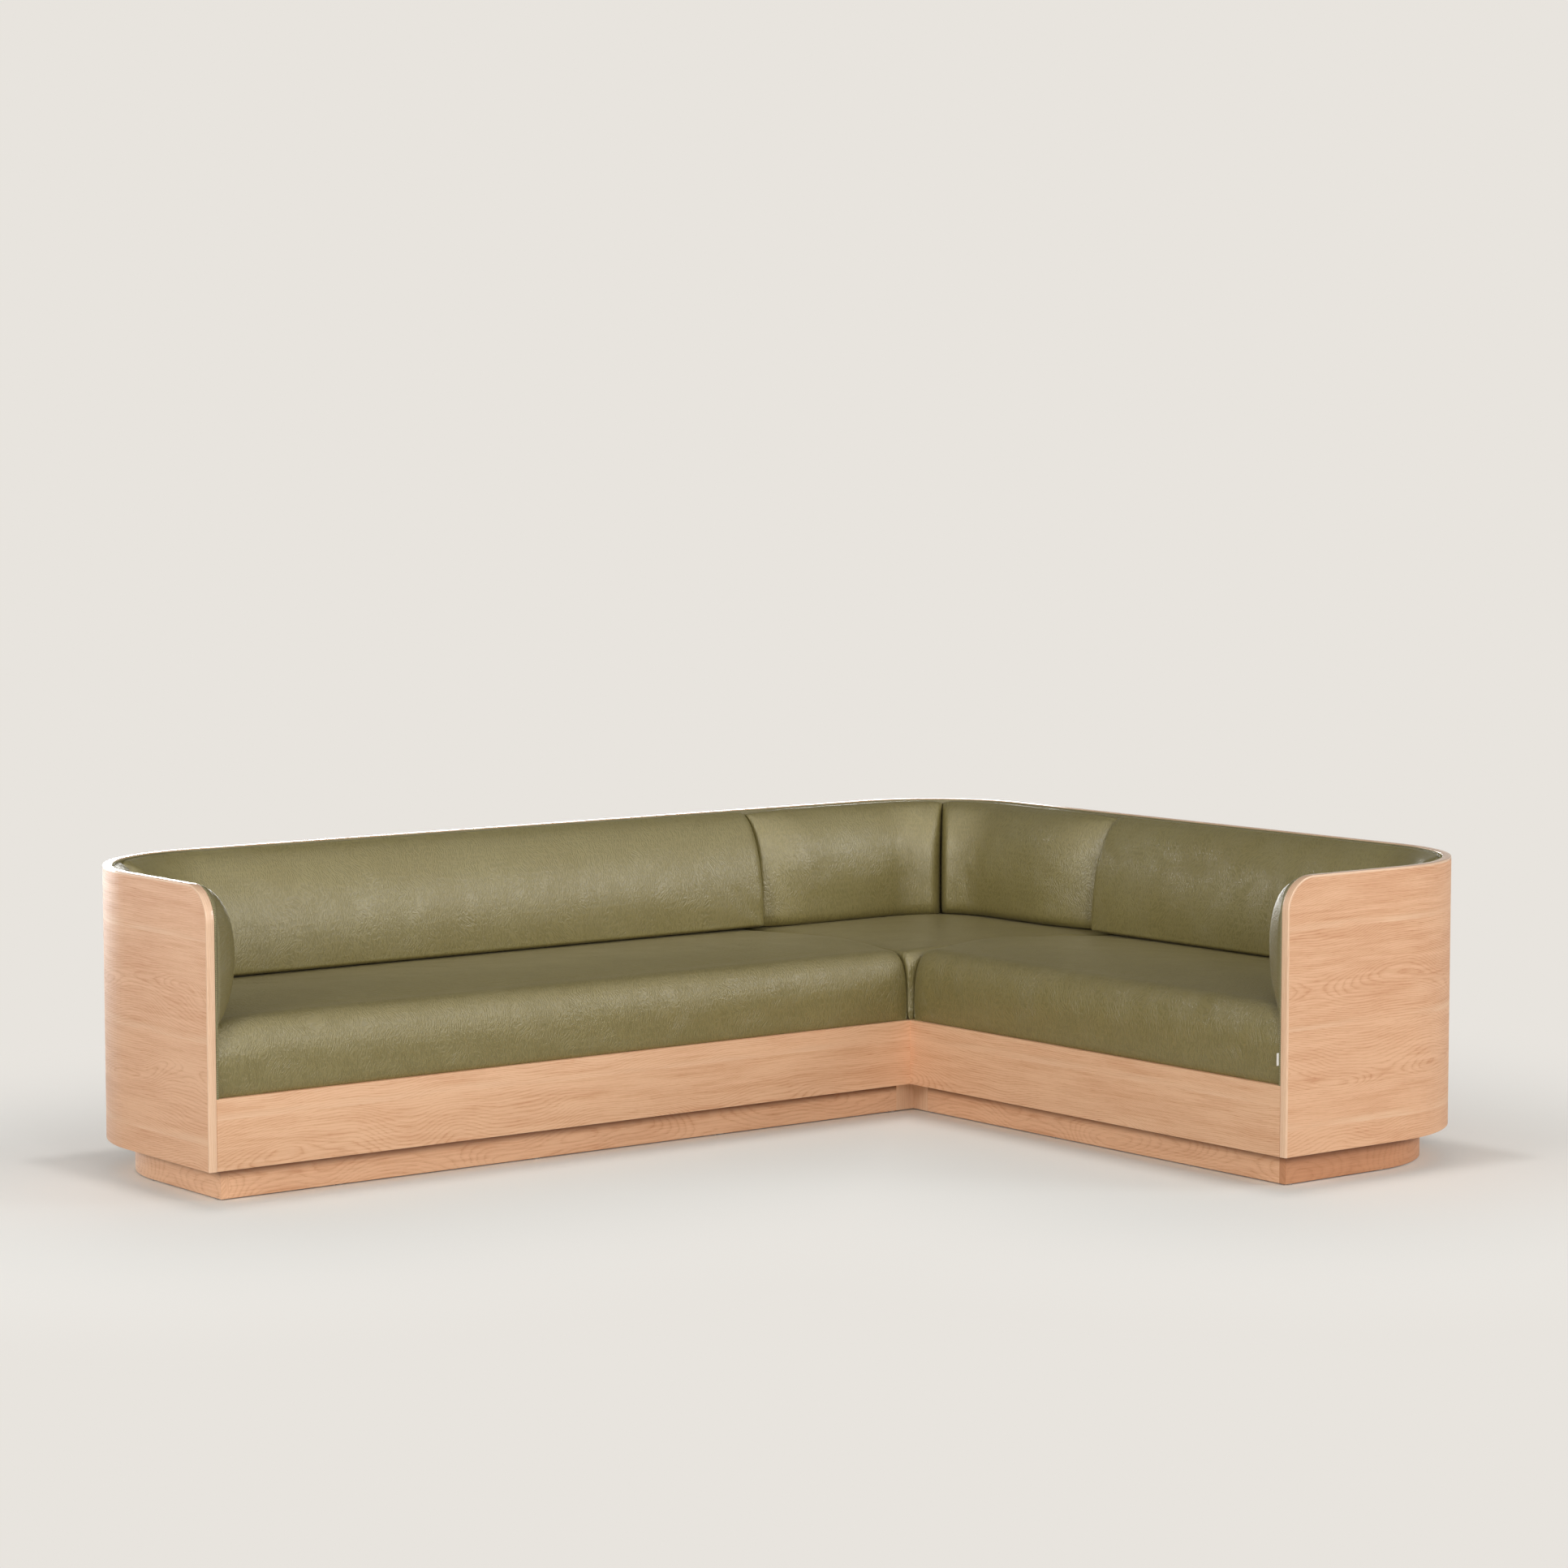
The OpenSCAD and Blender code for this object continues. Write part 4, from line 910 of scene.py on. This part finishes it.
def puffUp(pieces):
    scene = bpy.context.scene
    slack, cap = puffLook["slack"] * mm, puffLook["cap"] * mm
    for piece in pieces:
        mesh = piece.data
        held = [each.value for each in mesh.attributes["held"].data]
        inward = [vert.normal * -slack * (1 - fixed) for vert, fixed in zip(mesh.vertices, held)]
        for vert, move in zip(mesh.vertices, inward):
            vert.co += move
        sewn = piece.vertex_groups.new(name="sewn")
        sewn.add([index for index, fixed in enumerate(held) if fixed > 0.5], 1.0, "REPLACE")
        cloth = piece.modifiers.new("skin", "CLOTH").settings
        cloth.vertex_group_mass = "sewn"
        cloth.quality = 5
        cloth.tension_stiffness = cloth.compression_stiffness = puffLook["stiff"]
        cloth.shear_stiffness = puffLook["stiff"] / 2
        cloth.bending_stiffness = 5
        cloth.use_pressure = True
        cloth.uniform_pressure_force = puffLook["seatPressure" if "seat" in piece.name else "pressure"]
        cloth.effector_weights.gravity = 0
    for step in range(1, puffLook["frames"] + 1):
        scene.frame_set(step)
    graph = bpy.context.evaluated_depsgraph_get()
    for piece in pieces:
        blown = piece.evaluated_get(graph).data
        shifts = [moved.co - vert.co for vert, moved in zip(piece.data.vertices, blown.vertices)]
        far = max(shift.length for shift in shifts)
        for vert, shift in zip(piece.data.vertices, shifts):
            vert.co += shift * min(1.0, cap / far)
        piece.modifiers.remove(piece.modifiers["skin"])
        piece.vertex_groups.clear()
        print("puffed", piece.name, round(far / mm, 1), "mm")
    scene.frame_set(1)


softPieces = []
for name, look in seats.items():
    shape = seatShape(look)
    piece = finishPiece(shape, name, look["place"], seatLeather, [name], sharp=60)
    softPieces.append(piece)
for name, look in pads.items():
    shape = padShape(look)
    isArm = look.get("arm", False)
    piece = finishPiece(shape, name, look["place"], armLeather if isArm else backLeather, [name],
                        sharp=60)
    softPieces.append(piece)
puffUp(softPieces)
for piece in softPieces:
    piece.data.attributes.remove(piece.data.attributes["held"])
    finer = piece.modifiers.new("finer", "SUBSURF")
    finer.levels = finer.render_levels = 1
print("cushions made")


# Blank cloth tag, folded once, in the seam beside the short seat
tagLook = {"high": 28, "out": 5, "inside": 4.5, "middle": 295, "thick": 0.12}


def seamTag():
    lowTag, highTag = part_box("seam_tag")
    x0, x1, z0, z1 = lowTag.x, highTag.x, lowTag.z, highTag.z
    y = (lowTag.y + highTag.y) / 2
    shape = newShape()
    depth = tagLook["inside"] * mm
    verts = [shape.verts.new((x1 + dx, y + dy, z0)) for dx, dy in
             [(0, -0.11 * mm), (-(x1 - x0) + 0.4 * mm, -0.11 * mm), (-(x1 - x0), 0), (-(x1 - x0) + 0.4 * mm, 0.11 * mm), (0, 0.11 * mm)]]
    edges = [shape.edges.new(pair) for pair in zip(verts, verts[1:])]
    grown = bmesh.ops.extrude_edge_only(shape, edges=edges)["geom"]
    bmesh.ops.translate(shape, verts=[g for g in grown if isinstance(g, bmesh.types.BMVert)],
                        vec=(0, 0, z1 - z0))
    return finishPiece(shape, "seam_tag", Matrix.Identity(4), cotton, ["seam_tag"], sharp=0)


tag = seamTag()
print("tag made")


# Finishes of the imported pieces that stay
kept = {"floor_glides": nylon, "base_screws": zinc, "rail_brackets": zinc, "bracket_screws": zinc,
        "wing_webbing": webbing, "corner_webbing": webbing, "long_seat_foam": foam,
        "corner_seat_foam": foam, "short_seat_foam": foam, "long_back_foam": foam,
        "corner_back_foams": foam, "short_back_foam": foam, "arm_pad_foams": foam}
for name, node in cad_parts.items():
    if not node.hide_render:
        node.data.materials.clear()
        node.data.materials.append(kept.get(name, birch))


# Camera at the photograph's place
cameraLook = {"place": (-5.6769, -7.3425, 1.6734), "yaw": 52.274, "down": 4.955, "roll": 0.033,
              "lens": 93.34}
cameraData = bpy.data.cameras.new("camera")
cameraData.lens, cameraData.sensor_width = cameraLook["lens"], 36.0
camera = bpy.data.objects.new("camera", cameraData)
camera.location = cameraLook["place"]
camera.rotation_euler = (math.radians(90 - cameraLook["down"]), math.radians(cameraLook["roll"]),
                         math.radians(cameraLook["yaw"] - 90))
bpy.context.scene.collection.objects.link(camera)
bpy.context.scene.camera = camera


# Floor that fades into the pale backdrop, and soft studio lamps
stageLook = {"paper": "#E8E4DE", "lit": "#F3F4F1", "reach": 1.5, "shade": 0.74, "lift": 1.2,
             "world": 0.3, "front": (-0.498, -0.797, 0.342), "sheen": (0.22, 4.2), "horizon": 1.2}
lamps = {
    "keyRight": {"place": (5.0, -5.8, 3.0), "aim": (0, 0.3, 0.45), "size": (2.5, 2.0), "power": 138},
    "front": {"place": (-0.3, -7.2, 2.9), "aim": (0.2, 0, 0.4), "size": (1.6, 1.6), "power": 71},
    "keyLeft": {"place": (-2.8, -6.8, 2.1), "aim": (0.4, 0.4, 0.5), "size": (1.2, 1.4), "power": 101},
    "side": {"place": (-6.2, -1.2, 2.3), "aim": (0, 0, 0.4), "size": (1.8, 1.8), "power": 130},
    "top": {"place": (0, -0.5, 4.5), "aim": (0, 0, 0), "size": (3.5, 3.5), "power": 10},
    "rimBack": {"place": (2.6, 5.6, 1.3), "aim": (0.3, 0.4, 0.68), "size": (5.0, 0.6), "power": 26,
                "spread": 70, "glossOnly": True},
    "rimLeft": {"place": (-1.5, 6.2, 1.1), "aim": (-1.3, 0.8, 0.45), "size": (3.0, 1.6), "power": 26,
                "spread": 44, "glossOnly": True}}


def aimAt(thing, place, aim):
    thing.location = place
    thing.rotation_euler = (Vector(aim) - Vector(place)).to_track_quat("-Z", "Y").to_euler()


for name, look in lamps.items():
    data = bpy.data.lights.new(name, "AREA")
    data.shape, (data.size, data.size_y) = "RECTANGLE", look["size"]
    data.energy = look["power"]
    data.spread = math.radians(look.get("spread", 180))
    lamp = bpy.data.objects.new(name, data)
    lamp.visible_diffuse = not look.get("glossOnly", False)   # these only glance off the edges
    aimAt(lamp, look["place"], look["aim"])
    bpy.context.scene.collection.objects.link(lamp)

floorShape = bmesh.new()
bmesh.ops.create_circle(floorShape, cap_ends=True, segments=96, radius=14)
floorMesh = bpy.data.meshes.new("floor")
floorShape.to_mesh(floorMesh)
floorShape.free()
floor = bpy.data.objects.new("floor", floorMesh)
bpy.context.scene.collection.objects.link(floor)
# Matt paper: the camera sees its own colour with a share of the light and shade on it, which
# fades out with the distance from the sofa
paper, tree, shader = startMaterial("floor_paper_matt", stageLook["lit"], 0.8,
                                    **{"Specular IOR Level": 0.1})
spot = addNode(tree, "TexCoord").outputs["Object"]
aways = []
for wide, deep, x, y in [(2 * halfWide, wingDeep, 0, (halfDeep + innerY) / 2),
                         (wingDeep, 2 * halfDeep, (halfWide + innerX) / 2, 0)]:
    past = addNode(tree, "VectorMath", {0: spot, 1: (x, y, 0)}, operation="SUBTRACT")
    past = addNode(tree, "VectorMath", {0: past}, operation="ABSOLUTE")
    past = addNode(tree, "VectorMath", {0: past, 1: (wide / 2, deep / 2, 0)}, operation="SUBTRACT")
    past = addNode(tree, "VectorMath", {0: past, 1: (0, 0, 0)}, operation="MAXIMUM")
    aways.append(addNode(tree, "VectorMath", {0: past}, operation="LENGTH").outputs["Value"])
away = addNode(tree, "Math", {0: aways[0], 1: aways[1]}, operation="MINIMUM")
fade = addNode(tree, "MapRange", {"Value": away, "From Min": 0.0, "From Max": stageLook["reach"],
                                  "To Min": 1 - stageLook["shade"]},
               interpolation_type="SMOOTHSTEP")
under = addNode(tree, "MapRange", {"Value": away, "From Min": 0.0, "From Max": 0.08})
fade = addNode(tree, "Math", {0: fade, 1: under}, operation="MULTIPLY")
seen = addNode(tree, "LightPath").outputs["Is Camera Ray"]
fade = addNode(tree, "Math", {0: fade, 1: seen}, operation="MULTIPLY")
glow = addNode(tree, "MapRange", {"Value": fade, "From Min": 1 - stageLook["shade"], "To Min": stageLook["lift"],
                                 "To Max": 1.0})
glow = addNode(tree, "Emission", {"Color": linear(stageLook["paper"]), "Strength": glow})
blendIn = addNode(tree, "MixShader", {0: fade, 1: shader.outputs[0], 2: glow})
tree.links.new(blendIn.outputs[0], tree.nodes["Material Output"].inputs[0])
floorMesh.materials.append(paper)

world = bpy.data.worlds.new("studio")
bpy.context.scene.world = world
world.use_nodes = True
tree = world.node_tree
light = tree.nodes["Background"]
light.inputs[0].default_value = linear("#FFFDFA")
light.inputs[1].default_value = stageLook["world"]
# Glossy rays see the studio's bright front, which lays a broad soft sheen on hide and wood
look = addNode(tree, "TexCoord").outputs["Generated"]
facing = addNode(tree, "VectorMath", {0: look, 1: stageLook["front"]}, operation="DOT_PRODUCT")
glare = addNode(tree, "MapRange", {"Value": facing.outputs["Value"], "From Min": -0.3, "From Max": 0.9,
                                   "To Min": stageLook["sheen"][0], "To Max": stageLook["sheen"][1]},
                interpolation_type="SMOOTHSTEP")
# and a pale horizon, which draws the bright line along the rims
level = addNode(tree, "SeparateXYZ", {0: look})
level = addNode(tree, "MapRange", {"Value": level.outputs["Z"], "From Min": 0.3, "From Max": 0.0,
                                   "To Max": stageLook["horizon"]})
glare = addNode(tree, "Math", {0: glare, 1: level}, operation="MAXIMUM")
rays = addNode(tree, "LightPath").outputs
glare = addNode(tree, "Math", {0: glare, 1: rays["Is Glossy Ray"]}, operation="MULTIPLY")
seen = addNode(tree, "Math", {0: glare, 1: rays["Is Camera Ray"]}, operation="ADD")
backdrop = addNode(tree, "Background", {0: linear(stageLook["paper"]), 1: seen})
either = addNode(tree, "Math", {0: rays["Is Glossy Ray"], 1: rays["Is Camera Ray"]}, operation="MAXIMUM")
choose = addNode(tree, "MixShader", {0: either, 1: light, 2: backdrop})
tree.links.new(choose.outputs[0], tree.nodes["World Output"].inputs[0])
bpy.context.scene.view_settings.view_transform = "Standard"
print("stage made")
